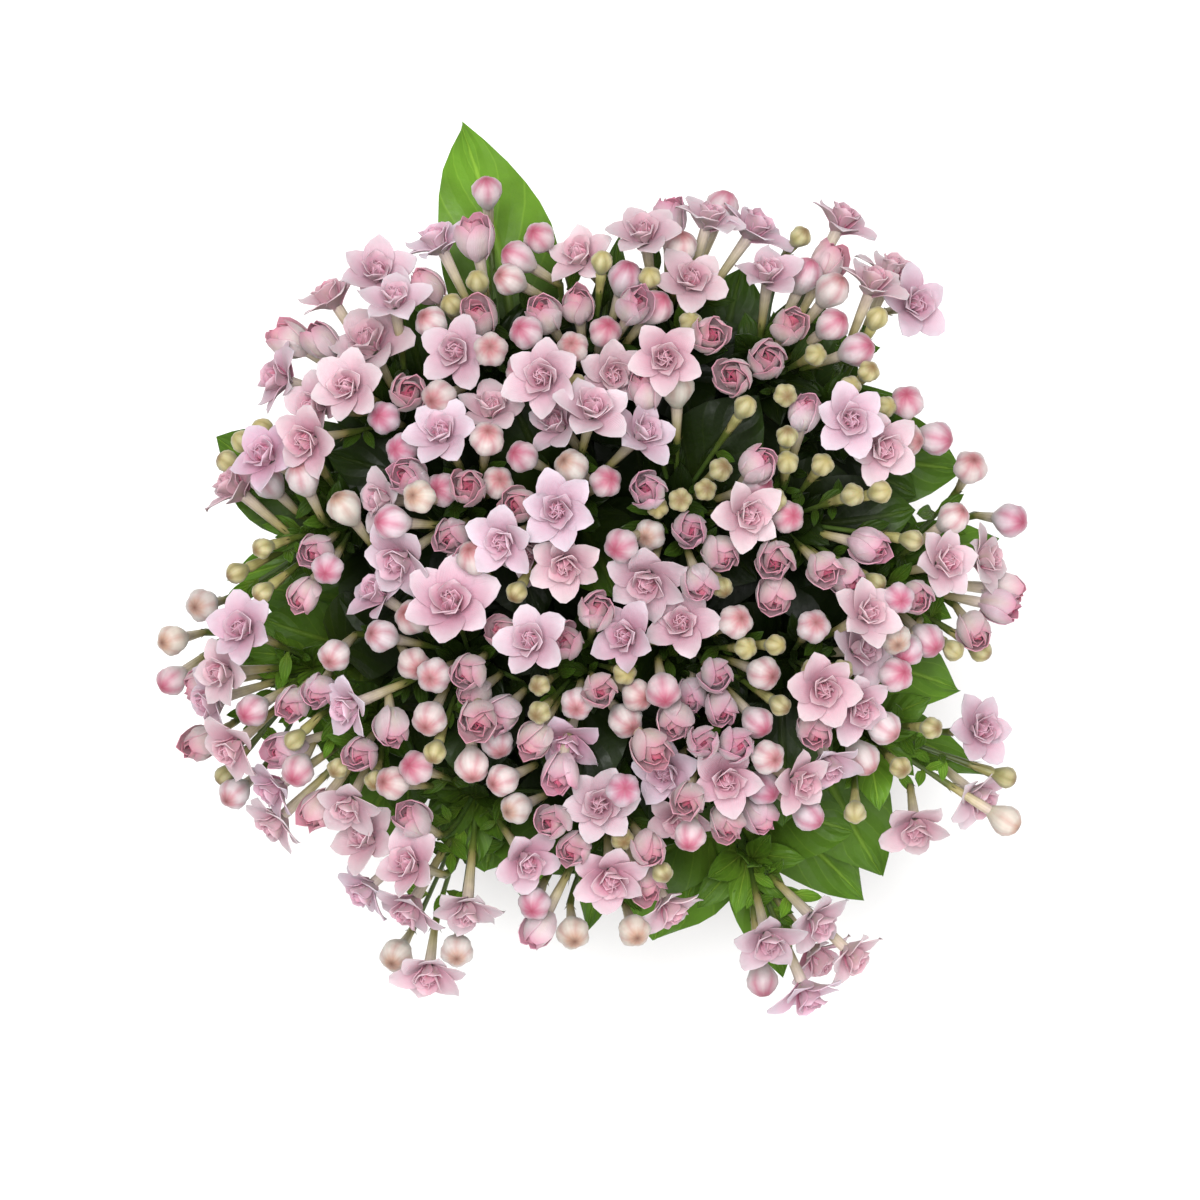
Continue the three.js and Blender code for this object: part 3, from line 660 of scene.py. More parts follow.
    def markers(self) -> Markers:
        """Marks the room of every stem, tube and limb.

        Returns:
            The markers.
        """
        marks = Markers()
        for shoot in self.shoots:
            share = 0.0
            while share <= 1:
                marks.add(shoot.head, shoot.stem_point(share)[None], self.stem_room)
                share += 0.05
            marks.run(shoot.head, shoot.collar, shoot.fork, self.stem_room)
            for flower in shoot.flowers:
                marks.run(-1, flower.origin, flower.foot, self.tube_room)
                marks.run(-1, flower.foot, flower.centre, self.tube_room)
                marks.add(-1, flower.centre[None], self.limb_room * SIZES[flower.stage].reach)
        return marks

    def blade_points(self, leaf: Leaf) -> np.ndarray:
        """Points spread over a blade, to try its room with.

        Args:
            leaf: The leaf.

        Returns:
            The points.
        """
        rows = ((0.24, 0.6), (0.34, 0.9), (0.44, 1), (0.54, 1), (0.64, 0.9), (0.74, 0.75), (0.84, 0.5))
        shares, breadths = np.array(rows).T
        side, ups = leaf.sides(shares)
        halves = np.outer(breadths * leaf.half_width, (-1, -0.5, 0, 0.5, 1))[:, :, None]
        spread = leaf.rib(shares)[:, None] + side * halves + ups[:, None] * (self.fold * abs(halves))
        return np.vstack([spread.reshape(-1, 3), leaf.rib(np.array([0.93, 1.0]))])

    def has_room(self, leaf: Leaf, owner: int, marks: Markers, rule: LeafRule) -> bool:
        """Whether a leaf stays inside the plant's reach and clear of what others own.

        Args:
            leaf: The leaf.
            owner: The head of its shoot.
            marks: What it keeps clear of.
            rule: Its reach, lowest height and room.

        Returns:
            True where it does.
        """
        points = self.blade_points(leaf)
        inside = np.hypot(points[:, 0], points[:, 1]).max() < rule.reach
        return bool(inside and points[:, 2].min() > rule.lowest and marks.clear(points, owner, rule.room))

    def grow_leaves(self) -> None:
        """Grows the leaves that show, the opposite pairs, and small fillers between them."""
        marks = self.markers()
        rule = self.own_leaves
        for stem, share, column, row, z, half_width in SHOWN_LEAVES:
            shoot = self.shoots[stem - 1]
            choices = []
            for lift in self.shown_lifts:
                for drop in self.shown_drops:
                    root = shoot.stem_point(share - drop)
                    tip = self.view.point(column, row, z + lift)
                    choices.append(Leaf(root, tip, 0.1 * math.dist(root, tip), half_width))
            free = [leaf for leaf in choices if self.has_room(leaf, shoot.head, marks, rule)][:1]
            self.keep((free or choices)[0], shoot, marks, rule.room)
        self.grow_pairs(rule, marks)
        self.grow_pairs(self.fillers, marks)

    def keep(self, leaf: Leaf, shoot: Shoot, marks: Markers, room: float) -> None:
        """Gives a leaf to a shoot and marks its place."""
        shoot.leaves.append(leaf)
        marks.add(shoot.head, self.blade_points(leaf), room)

    def grow_pairs(self, rule: LeafRule, marks: Markers) -> None:
        """Grows opposite pairs down every stem, each square to the last, where there is room.

        Args:
            rule: How the leaves are tried.
            marks: What they keep clear of.
        """
        for pair in range(rule.pairs):
            for shoot in self.shoots:
                random = SeededRandom(rule.seed + 31 * shoot.head + pair)
                z = shoot.collar[2] - rule.start - rule.spacing * pair
                if z < self.soil_top + 30:
                    continue
                root = shoot.at_height(z)
                rise = (z - self.soil_top) / (shoot.collar[2] - self.soil_top)
                heading = shoot.outward(self.dome.centre_y) + (pair % 2) * (math.pi / 2)
                heading += 0.3 * (random.draw() - 0.5)
                for half in (0, math.pi):
                    climb = -0.05 + 0.5 * rise + 0.2 * (random.draw() - 0.5)
                    leaf = self.leaf_with_room(root, heading + half, climb, shoot, marks, rule)
                    if leaf:
                        self.keep(leaf, shoot, marks, rule.room)

    def leaf_with_room(self, root: np.ndarray, heading: float, climb: float, shoot: Shoot,
                       marks: Markers, rule: LeafRule) -> Leaf | None:
        """Tries leaves of ever smaller lengths until one has room.

        Args:
            root: Where the leaf springs from its stem.
            heading: The way that it points, seen from above.
            climb: The angle at which it rises.
            shoot: The shoot that it grows on.
            marks: What it keeps clear of.
            rule: The lengths, turns and climbs to try.

        Returns:
            The first leaf with room, or None.
        """
        for length in rule.lengths:
            for tilt in rule.climbs:
                for turn in rule.turns:
                    angle, rise = heading + math.radians(turn), climb + math.radians(tilt)
                    flat = math.cos(rise)
                    way = np.array([math.cos(angle) * flat, math.sin(angle) * flat, math.sin(rise)])
                    half = rule.half_width_share * length
                    leaf = Leaf(root, root + way * length, 0.12 * length, half)
                    if self.has_room(leaf, shoot.head, marks, rule):
                        return leaf
        return None


# Shapes that are modelled once and copied, and the meshes that their copies make up


@dataclass
class Shape:
    """A mesh modelled once: its points and the corners of its faces."""

    points: np.ndarray
    corners: np.ndarray
    sizes: np.ndarray

    @classmethod
    def taken_from(cls, model: bpy.types.Object) -> Shape:
        """Takes a modelled object's mesh as a shape, and removes the object.

        Args:
            model: The finished model.

        Returns:
            Its shape.
        """
        mesh = model.data
        points = np.zeros(len(mesh.vertices) * 3)
        corners = np.zeros(len(mesh.loops), np.int32)
        sizes = np.zeros(len(mesh.polygons), np.int32)
        mesh.vertices.foreach_get("co", points)
        mesh.loops.foreach_get("vertex_index", corners)
        mesh.polygons.foreach_get("loop_total", sizes)
        bpy.data.objects.remove(model)
        bpy.data.meshes.remove(mesh)
        return cls(points.reshape(-1, 3), corners, sizes)


class Heap:
    """Gathers copies of shapes into one mesh, each copy with its own points and colours."""

    def __init__(self, name: str) -> None:
        """Starts an empty heap for a piece of that name."""
        self.name = name
        self.points: list[np.ndarray] = []
        self.paint: list[np.ndarray] = []
        self.blade: list[np.ndarray] = []
        self.corners: list[np.ndarray] = []
        self.sizes: list[np.ndarray] = []
        self.finish: list[np.ndarray] = []
        self.count = 0

    def add(self, shape: Shape, points: np.ndarray, paint: np.ndarray, blade: np.ndarray,
            finish: int = 0) -> None:
        """Adds one copy of a shape.

        Args:
            shape: The shape that is copied.
            points: Where this copy's points are, in millimetres.
            paint: Each point's scene-linear colour.
            blade: Each point's place across and along its petal, leaf, tube or bud.
            finish: Which of the piece's materials the copy has.
        """
        self.points.append(points)
        self.paint.append(paint)
        self.blade.append(blade)
        self.corners.append(shape.corners + self.count)
        self.sizes.append(shape.sizes)
        self.finish.append(np.full(len(shape.sizes), finish, np.int32))
        self.count += len(points)

    def build(self, materials: Sequence[bpy.types.Material], crease: float) -> bpy.types.Object:
        """Makes the heap one object.

        Args:
            materials: The piece's materials, in the order of the copies' finish numbers.
            crease: The angle in degrees past which an edge is shaded sharp.

        Returns:
            The new object.
        """
        points = np.vstack(self.points) * MILLIMETRE
        corners, sizes = np.concatenate(self.corners), np.concatenate(self.sizes)
        mesh = bpy.data.meshes.new(self.name)
        mesh.vertices.add(len(points))
        mesh.vertices.foreach_set("co", points.ravel())
        mesh.loops.add(len(corners))
        mesh.loops.foreach_set("vertex_index", corners)
        mesh.polygons.add(len(sizes))
        mesh.polygons.foreach_set("loop_start", np.concatenate([[0], np.cumsum(sizes)[:-1]]))
        mesh.polygons.foreach_set("material_index", np.concatenate(self.finish))
        mesh.polygons.foreach_set("use_smooth", np.ones(len(sizes), bool))
        mesh.update(calc_edges=True)
        mesh.set_sharp_from_angle(angle=math.radians(crease))
        paint = np.hstack([np.vstack(self.paint), np.ones((len(points), 1))])
        layer = mesh.color_attributes.new("paint", "FLOAT_COLOR", "POINT")
        layer.data.foreach_set("color", np.clip(paint, 0, 1).ravel())
        blade = mesh.uv_layers.new(name="blade")
        blade.uv.foreach_set("vector", np.vstack(self.blade)[corners].ravel())
        for material in materials:
            mesh.materials.append(material)
        piece = bpy.data.objects.new(self.name, mesh)
        bpy.context.scene.collection.objects.link(piece)
        return piece


class Bench:
    """Models shapes with mesh operators, as by hand."""

    @staticmethod
    def clear_selection() -> None:
        """Leaves edit mode and deselects everything."""
        if bpy.context.object and bpy.context.object.mode != "OBJECT":
            bpy.ops.object.mode_set(mode="OBJECT")
        bpy.ops.object.select_all(action="DESELECT")

    @classmethod
    def pick_out(cls, piece: bpy.types.Object) -> None:
        """Selects one object alone, for the operators that come next."""
        cls.clear_selection()
        piece.select_set(True)
        bpy.context.view_layer.objects.active = piece

    @classmethod
    def sheet(cls, across: int, along: int) -> Shape:
        """A thin closed sheet from -1 to 1 across, 0 to 1 along, and -1 to 1 through.

        Args:
            across: How many faces it has across.
            along: How many it has along.

        Returns:
            The sheet.
        """
        cls.clear_selection()
        bpy.ops.mesh.primitive_grid_add(x_subdivisions=across, y_subdivisions=along, size=2)
        model = bpy.context.object
        bpy.ops.object.mode_set(mode="EDIT")
        bpy.ops.mesh.select_all(action="SELECT")
        bpy.ops.transform.translate(value=(0, 1, 0))
        bpy.ops.transform.resize(value=(1, 0.5, 1), center_override=(0, 0, 0))
        bpy.ops.object.mode_set(mode="OBJECT")
        wall = model.modifiers.new("wall", "SOLIDIFY")
        wall.thickness, wall.offset = 2, 0
        bpy.ops.object.modifier_apply(modifier=wall.name)
        return Shape.taken_from(model)

    @classmethod
    def sleeve(cls, sides: int, rings: int) -> Shape:
        """An upright tube of radius one and height one, open at both ends.

        Args:
            sides: How many faces it has round it.
            rings: How many faces it has up its length.

        Returns:
            The tube.
        """
        cls.clear_selection()
        bpy.ops.mesh.primitive_circle_add(vertices=sides, radius=1)
        model = bpy.context.object
        bpy.ops.object.mode_set(mode="EDIT")
        bpy.ops.mesh.select_all(action="SELECT")
        for _ in range(rings):
            bpy.ops.mesh.extrude_region_move(TRANSFORM_OT_translate={"value": (0, 0, 1 / rings)})
        bpy.ops.mesh.select_all(action="SELECT")
        bpy.ops.mesh.normals_make_consistent(inside=False)
        bpy.ops.object.mode_set(mode="OBJECT")
        return Shape.taken_from(model)

    @classmethod
    def ball(cls, segments: int, rings: int) -> Shape:
        """A closed ball of radius one.

        Args:
            segments: How many faces it has round it.
            rings: How many it has from pole to pole.

        Returns:
            The ball.
        """
        cls.clear_selection()
        bpy.ops.mesh.primitive_uv_sphere_add(segments=segments, ring_count=rings, radius=1)
        return Shape.taken_from(bpy.context.object)

    @classmethod
    def spike(cls, sides: int) -> Shape:
        """A slim closed spike of radius one and height one.

        Args:
            sides: How many faces it has round it.

        Returns:
            The spike.
        """
        cls.clear_selection()
        bpy.ops.mesh.primitive_cone_add(vertices=sides, radius1=1, depth=1, location=(0, 0, 0.5))
        bpy.ops.object.transform_apply(location=True)
        return Shape.taken_from(bpy.context.object)

    @classmethod
    def turned(cls, name: str, outline: Sequence[tuple[float, float]], sides: int) -> bpy.types.Object:
        """Raises a round piece ring by ring from its underside to its inside.

        Args:
            name: The piece's name.
            outline: Each ring's radius and height, in millimetres.
            sides: How many faces it has round it.

        Returns:
            The piece, closed at its first and last ring.
        """
        cls.clear_selection()
        radius, height = (value * MILLIMETRE for value in outline[0])
        bpy.ops.mesh.primitive_circle_add(
            vertices=sides, radius=radius, location=(0, 0, height), fill_type="NGON")
        model = bpy.context.object
        model.name = name
        bpy.ops.object.transform_apply(location=True)
        bpy.ops.object.mode_set(mode="EDIT")
        bpy.ops.mesh.select_all(action="SELECT")
        for ring_radius, ring_height in outline[1:]:
            rise, scale = ring_height * MILLIMETRE - height, ring_radius * MILLIMETRE / radius
            bpy.ops.mesh.extrude_region_move(TRANSFORM_OT_translate={"value": (0, 0, rise)})
            bpy.ops.transform.resize(value=(scale, scale, 1), center_override=(0, 0, 0))
            radius, height = ring_radius * MILLIMETRE, ring_height * MILLIMETRE
        bpy.ops.mesh.select_all(action="SELECT")
        bpy.ops.mesh.normals_make_consistent(inside=False)
        bpy.ops.object.mode_set(mode="OBJECT")
        return model


# Finishes


class Wiring:
    """Adds and joins the nodes of one node tree."""

    def __init__(self, tree: bpy.types.NodeTree) -> None:
        """Works on a tree."""
        self.tree = tree

    def node(self, kind: str, inputs: dict[str | int, object] | None = None,
             **settings: object) -> bpy.types.Node:
        """Adds a node.

        Args:
            kind: The node's type.
            inputs: Its inputs by name or number, each a value or the socket that feeds it.
            settings: Its own properties.

        Returns:
            The node.
        """
        node = self.tree.nodes.new(kind)
        for name, value in settings.items():
            setattr(node, name, value)
        for name, value in (inputs or {}).items():
            if isinstance(value, bpy.types.NodeSocket):
                self.tree.links.new(value, node.inputs[name])
            else:
                node.inputs[name].default_value = value
        return node

    def math(self, operation: str, a: object, b: object = 0.0, clamp: bool = False) -> bpy.types.NodeSocket:
        """The outcome of a sum on two values."""
        return self.node("ShaderNodeMath", {0: a, 1: b}, operation=operation, use_clamp=clamp).outputs[0]

    def times(self, a: object, b: object) -> bpy.types.NodeSocket:
        """Two values multiplied."""
        return self.math("MULTIPLY", a, b)

    def span(self, value: object, low: float, high: float, to_low: float,
             to_high: float) -> bpy.types.NodeSocket:
        """A value carried from one range to another."""
        inputs = {"Value": value, "From Min": low, "From Max": high, "To Min": to_low, "To Max": to_high}
        return self.node("ShaderNodeMapRange", inputs).outputs["Result"]

    def mix(self, kind: str, share: object, a: object, b: object) -> bpy.types.NodeSocket:
        """Two colours mixed by a blend type."""
        inputs = {0: share, 6: a, 7: b}
        return self.node("ShaderNodeMix", inputs, data_type="RGBA", blend_type=kind).outputs[2]

    def paint(self) -> bpy.types.NodeSocket:
        """The colour that each point of a piece was given."""
        return self.node("ShaderNodeAttribute", attribute_name="paint").outputs["Color"]

    def blade(self) -> bpy.types.Node:
        """Where on its petal, leaf, tube or bud a place is, split into across and along."""
        place = self.node("ShaderNodeUVMap", uv_map="blade").outputs["UV"]
        return self.node("ShaderNodeSeparateXYZ", {0: place})


class Effects:
    """Shader node groups that several finishes use, each built once."""

    def __init__(self) -> None:
        """Builds the groups."""
        self.mottle = self.build_mottle()
        self.lines = self.build_lines()

    @staticmethod
    def group(name: str, inputs: dict[str, float], outputs: Sequence[str]) -> tuple:
        """Starts a group.

        Args:
            name: The group's name.
            inputs: Its inputs and their usual values.
            outputs: The names of its outputs.

        Returns:
            The tree, its wiring, and its input and output nodes.
        """
        tree = bpy.data.node_groups.new(name, "ShaderNodeTree")
        for label, value in inputs.items():
            socket = tree.interface.new_socket(label, in_out="INPUT", socket_type="NodeSocketFloat")
            socket.default_value = value
        for label in outputs:
            tree.interface.new_socket(label, in_out="OUTPUT", socket_type="NodeSocketFloat")
        wiring = Wiring(tree)
        return tree, wiring, wiring.node("NodeGroupInput"), wiring.node("NodeGroupOutput")

    def build_mottle(self) -> bpy.types.NodeTree:
        """Builds cloudy patches over a piece.

        Returns:
            A group that puts out a mask from 0 to 1.
        """
        tree, wiring, given, out = self.group("mottle", {"Scale": 100.0, "Detail": 3.0}, ["Mask"])
        place = wiring.node("ShaderNodeTexCoord").outputs["Object"]
        cloud = wiring.node("ShaderNodeTexNoise", {
            "Vector": place, "Scale": given.outputs["Scale"], "Detail": given.outputs["Detail"]})
        mask = wiring.span(cloud.outputs["Fac"], 0.32, 0.68, 0.0, 1.0)
        tree.links.new(mask, out.inputs["Mask"])
        return tree

    def build_lines(self) -> bpy.types.NodeTree:
        """Builds lines that leave a blade's middle on both sides.

        Returns:
            A group that puts out a mask of the lines, and a wave that rises between them.
        """
        tree, wiring, given, out = self.group(
            "blade_lines", {"Along": 7.0, "Across": -6.0, "Width": 0.2}, ["Mask", "Wave"])
        parts = wiring.blade()
        side = wiring.math("ABSOLUTE", wiring.math("SUBTRACT", parts.outputs[0], 0.5))
        bent = wiring.math("POWER", side, 0.8)
        run = wiring.math("ADD", wiring.times(parts.outputs[1], given.outputs["Along"]),
                          wiring.times(bent, given.outputs["Across"]))
        wave = wiring.math("PINGPONG", run, 0.5)
        near = wiring.math("DIVIDE", wave, given.outputs["Width"])
        tree.links.new(wiring.math("SUBTRACT", 1.0, near, clamp=True), out.inputs["Mask"])
        tree.links.new(wiring.times(wave, 2.0), out.inputs["Wave"])
        return tree

    def patches(self, wiring: Wiring, scale: float, detail: float) -> bpy.types.NodeSocket:
        """Places the mottle in a material, and gives its mask."""
        inputs = {"Scale": scale, "Detail": detail}
        return wiring.node("ShaderNodeGroup", inputs, node_tree=self.mottle).outputs["Mask"]

    def veins(self, wiring: Wiring, along: float, across: float, width: float) -> bpy.types.Node:
        """Places the lines in a material."""
        inputs = {"Along": along, "Across": across, "Width": width}
        return wiring.node("ShaderNodeGroup", inputs, node_tree=self.lines)


@dataclass(frozen=True)
class Finish:
    """What every finish shares: a new material whose surface is one Principled shader."""

    @staticmethod
    def start(name: str, constants: dict[str, object]) -> tuple[bpy.types.Material, Wiring, bpy.types.Node]:
        """Starts a material.

        Args:
            name: The material's name.
            constants: The shader's values that are the same all over.

        Returns:
            The material, its wiring and its shader.
        """
        material = bpy.data.materials.new(name)
        material.use_nodes = True
        shader = material.node_tree.nodes["Principled BSDF"]
        for label, value in constants.items():
            shader.inputs[label].default_value = value
        return material, Wiring(material.node_tree), shader

    @staticmethod
    def wire(wiring: Wiring, shader: bpy.types.Node, colour: object, roughness: object,
             height: object, strength: float, distance: float) -> None:
        """Feeds a shader its colour, roughness and bump.

        Args:
            wiring: The material's wiring.
            shader: Its shader.
            colour: The socket of the base colour.
            roughness: The socket of the roughness.
            height: The socket of the bump's height.
            strength: How strong the bump is.
            distance: How deep it is, in metres.
        """
        wiring.tree.links.new(colour, shader.inputs["Base Color"])
        wiring.tree.links.new(roughness, shader.inputs["Roughness"])
        bump = wiring.node("ShaderNodeBump", {
            "Strength": strength, "Distance": distance, "Height": height})
        wiring.tree.links.new(bump.outputs["Normal"], shader.inputs["Normal"])


@dataclass(frozen=True)
class PetalFinish(Finish):
    """Petals and buds: thin, faintly veined, matt with a soft bloom."""

    veins: tuple[float, float, float] = (0.5, 15.0, 0.28)
    vein_depth: float = 0.1
    vein_tint: tuple[float, float, float, float] = (0.78, 0.42, 0.55, 1)
    mottle_depth: float = 0.07
    roughness: tuple[float, float] = (0.5, 0.68)
    glow: float = 0.22

    def material(self, effects: Effects) -> bpy.types.Material:
        """Builds the material.

        Args:
            effects: The shared node groups.

        Returns:
            The material.
        """
        material, wiring, shader = self.start("petal", {
            "Subsurface Weight": self.glow, "Subsurface Radius": (1.0, 0.45, 0.5),
            "Subsurface Scale": 0.0016, "Specular IOR Level": 0.35, "Sheen Weight": 0.12})
        lines = effects.veins(wiring, *self.veins)
        mottle = effects.patches(wiring, 420.0, 3.0)
        depth = wiring.times(lines.outputs["Mask"], self.vein_depth)
        veined = wiring.mix("MULTIPLY", depth, wiring.paint(), self.vein_tint)
        shade = wiring.span(mottle, 0, 1, 1 - self.mottle_depth, 1)
        colour = wiring.mix("MULTIPLY", 1.0, veined, shade)
        rough = wiring.span(mottle, 0, 1, *self.roughness)
        height = wiring.math("ADD", wiring.times(lines.outputs["Wave"], 0.5), mottle)
        self.wire(wiring, shader, colour, rough, height, strength=0.35, distance=0.0002)
        return material


@dataclass(frozen=True)
class LeafFinish(Finish):
    """Leaves: satin green with a pale midrib, arching side veins and raised skin between them."""

    veins: tuple[float, float, float] = (5.2, -3.4, 0.06)
    vein_share: float = 0.24
    rib_share: float = 0.55
    rib_edges: tuple[float, float] = (0.012, 0.045)
    vein_tint: tuple[float, float, float, float] = (2.4, 1.9, 2.6, 1)
    shade: tuple[float, float] = (0.72, 1.12)
    roughness: tuple[float, float] = (0.42, 0.58)

    def material(self, effects: Effects) -> bpy.types.Material:
        """Builds the material.

        Args:
            effects: The shared node groups.

        Returns:
            The material.
        """
        material, wiring, shader = self.start("leaf", {
            "Specular IOR Level": 0.15, "Coat Weight": 0.02, "Coat Roughness": 0.3,
            "Subsurface Weight": 0.08, "Subsurface Radius": (0.5, 1.0, 0.2),
            "Subsurface Scale": 0.0008})
        paint = wiring.paint()
        lines = effects.veins(wiring, *self.veins)
        net, patches = effects.patches(wiring, 650.0, 2.0), effects.patches(wiring, 60.0, 3.0)
        across = wiring.blade().outputs[0]
        from_rib = wiring.math("ABSOLUTE", wiring.math("SUBTRACT", across, 0.5))
        rib = wiring.span(from_rib, *self.rib_edges, 1, 0)
        vein = wiring.math("MAXIMUM", wiring.times(lines.outputs["Mask"], self.vein_share),
                           wiring.times(rib, self.rib_share))
        toned = wiring.mix("MULTIPLY", 1.0, paint, wiring.span(patches, 0, 1, *self.shade))
        pale = wiring.mix("MULTIPLY", 1.0, paint, self.vein_tint)
        colour = wiring.mix("MIX", vein, toned, pale)
        rough = wiring.span(net, 0, 1, *self.roughness)
        raised = wiring.math("SUBTRACT", lines.outputs["Wave"], wiring.times(rib, 1.2))
        height = wiring.math("ADD", raised, wiring.times(net, 0.12))
        self.wire(wiring, shader, colour, rough, height, strength=0.6, distance=0.0006)
        return material


@dataclass(frozen=True)
class StemFinish(Finish):
    """Stems, pedicels and tubes: smooth skin with fine streaks along it."""

    veins: tuple[float, float, float] = (0.2, 9.0, 0.4)
    shade: tuple[float, float] = (0.84, 1.06)
    streak: float = 0.9
    roughness: tuple[float, float] = (0.45, 0.62)

    def material(self, effects: Effects) -> bpy.types.Material:
        """Builds the material.

        Args:
            effects: The shared node groups.

        Returns:
            The material.
        """
        material, wiring, shader = self.start("stem", {
            "Specular IOR Level": 0.4, "Subsurface Weight": 0.12,
            "Subsurface Radius": (0.8, 0.7, 0.3), "Subsurface Scale": 0.001})
        lines = effects.veins(wiring, *self.veins)
        mottle = effects.patches(wiring, 300.0, 4.0)
        shade = wiring.span(mottle, 0, 1, *self.shade)
        streak = wiring.span(lines.outputs["Mask"], 0, 1, 1, self.streak)
        colour = wiring.mix("MULTIPLY", 1.0, wiring.paint(), wiring.times(shade, streak))
        rough = wiring.span(mottle, 0, 1, *self.roughness)
        self.wire(wiring, shader, colour, rough, lines.outputs["Wave"], strength=0.3, distance=0.0002)
        return material


@dataclass(frozen=True)
class ClayFinish(Finish):
    """Fired clay: matt orange-brown with darker patches, pale lime bloom and fine turning lines."""

    clay: Colour = (206, 124, 84)
    dark: Colour = (172, 92, 58)
    lime: Colour = (222, 190, 165)
    patchy: float = 0.4
    damp_height: float = 0.05
    damp: float = 0.75
    limed: float = 0.16
    turning_pitch: float = 4200.0

    def material(self, effects: Effects) -> bpy.types.Material:
        """Builds the material.

        Args:
            effects: The shared node groups.

        Returns:
            The material.
        """
        material, wiring, shader = self.start("clay", {"Specular IOR Level": 0.25})
        broad, bloom = effects.patches(wiring, 28.0, 5.0), effects.patches(wiring, 55.0, 9.0)
        grain = effects.patches(wiring, 1400.0, 2.0)
        place = wiring.node("ShaderNodeTexCoord").outputs["Object"]
        z = wiring.node("ShaderNodeSeparateXYZ", {0: place}).outputs[2]
        clay, dark, lime = ((*linear(tone), 1) for tone in (self.clay, self.dark, self.lime))
        body = wiring.mix("MIX", wiring.times(broad, self.patchy), clay, dark)
        wet = wiring.span(z, 0.0, self.damp_height, self.damp, 0.0)
        low = wiring.mix("MIX", wiring.times(wet, broad), body, dark)
        limed = wiring.mix("MIX", wiring.span(bloom, 0.35, 1.0, 0, self.limed), low, lime)
        colour = wiring.mix("MULTIPLY", 1.0, limed, wiring.span(grain, 0, 1, 0.86, 1.05))
        turning = wiring.math("SINE", wiring.times(z, self.turning_pitch))
        height = wiring.math("ADD", wiring.times(turning, 0.18), grain)
        rough = wiring.span(bloom, 0, 1, 0.78, 0.95)
        self.wire(wiring, shader, colour, rough, height, strength=0.5, distance=0.0003)
        return material


@dataclass(frozen=True)
class SoilFinish(Finish):
    """Moist potting soil: dark brown crumbs with paler fibres."""

    dark: Colour = (38, 27, 20)
    pale: Colour = (92, 68, 48)
    roughness: tuple[float, float] = (0.8, 0.98)

    def material(self, effects: Effects) -> bpy.types.Material:
        """Builds the material.

        Args:
            effects: The shared node groups.

        Returns:
            The material.
        """
        material, wiring, shader = self.start("soil", {"Specular IOR Level": 0.3})
        crumbs, patches = effects.patches(wiring, 520.0, 6.0), effects.patches(wiring, 90.0, 4.0)
        dark, pale = (*linear(self.dark), 1), (*linear(self.pale), 1)
        colour = wiring.mix("MIX", wiring.times(crumbs, patches), dark, pale)
        rough = wiring.span(patches, 0, 1, *self.roughness)
        self.wire(wiring, shader, colour, rough, crumbs, strength=0.9, distance=0.0015)
        return material


@dataclass(frozen=True)
class FloorFinish(Finish):
    """The studio floor: plain and pale."""

    tone: float = 0.86
    roughness: tuple[float, float] = (0.6, 0.7)

    def material(self, effects: Effects) -> bpy.types.Material:
        """Builds the material.

        Args:
            effects: The shared node groups.

        Returns:
            The material.
        """
        material, wiring, shader = self.start("floor", {"Specular IOR Level": 0.2})
        mottle = effects.patches(wiring, 6.0, 2.0)
        tone = wiring.span(mottle, 0, 1, self.tone, self.tone + 0.02)
        colour = wiring.node("ShaderNodeCombineColor", {0: tone, 1: tone, 2: tone}).outputs[0]
        rough = wiring.span(mottle, 0, 1, *self.roughness)
        self.wire(wiring, shader, colour, rough, mottle, strength=0.05, distance=0.0002)
        return material


@dataclass
class Finishes:
    """The plant's materials, each built once."""

    effects: Effects = field(default_factory=Effects)

    def __post_init__(self) -> None:
        """Builds every material."""
        self.petal = PetalFinish().material(self.effects)
        self.leaf = LeafFinish().material(self.effects)
        self.stem = StemFinish().material(self.effects)
        self.clay = ClayFinish().material(self.effects)
        self.soil = SoilFinish().material(self.effects)
        self.floor = FloorFinish().material(self.effects)


# Flowers


@dataclass(frozen=True)
class PetalRing:
    """A ring of alike petals. Lengths are shares of the flower's reach, and slopes are degrees
    above the outward way at a petal's root, middle and tip."""

    count: int
    length: float
    half_width: float
    root_radius: float
    root_height: float
    slopes: tuple[float, float, float]
    hollow: float
    colours: tuple[Colour, Colour, Colour]
    back: Colour
    point: float
    overlap: float = 0.05
    start: float = 0.0
    wild: float = 9.0


OPEN_RINGS = (
    PetalRing(
        count=5, length=1.1, half_width=0.4, root_radius=0.1, root_height=-0.2, slopes=(44, 24, 4),
        hollow=1.15, colours=((228, 160, 184), (240, 197, 212), (250, 236, 241)),
        back=(241, 214, 218), point=0.75, wild=12),
    PetalRing(
        count=5, length=0.66, half_width=0.54, root_radius=0.12, root_height=-0.06,
        slopes=(72, 58, 56), hollow=0.42, colours=((226, 120, 156), (240, 164, 190), (251, 218, 228)),
        back=(243, 204, 213), point=0.25, overlap=0.07, start=0.5),
    PetalRing(
        count=5, length=0.54, half_width=0.54, root_radius=0.1, root_height=0.0,
        slopes=(84, 84, 112), hollow=0.3, colours=((218, 80, 128), (238, 128, 164), (251, 194, 212)),
        back=(242, 174, 196), point=0.15, overlap=0.07, start=0.2, wild=7),
    PetalRing(
        count=4, length=0.45, half_width=0.56, root_radius=0.06, root_height=0.02,
        slopes=(86, 96, 132), hollow=0.18, colours=((202, 62, 102), (220, 90, 126), (242, 158, 178)),
        back=(232, 140, 164), point=0.1, start=0.6, wild=6),
)
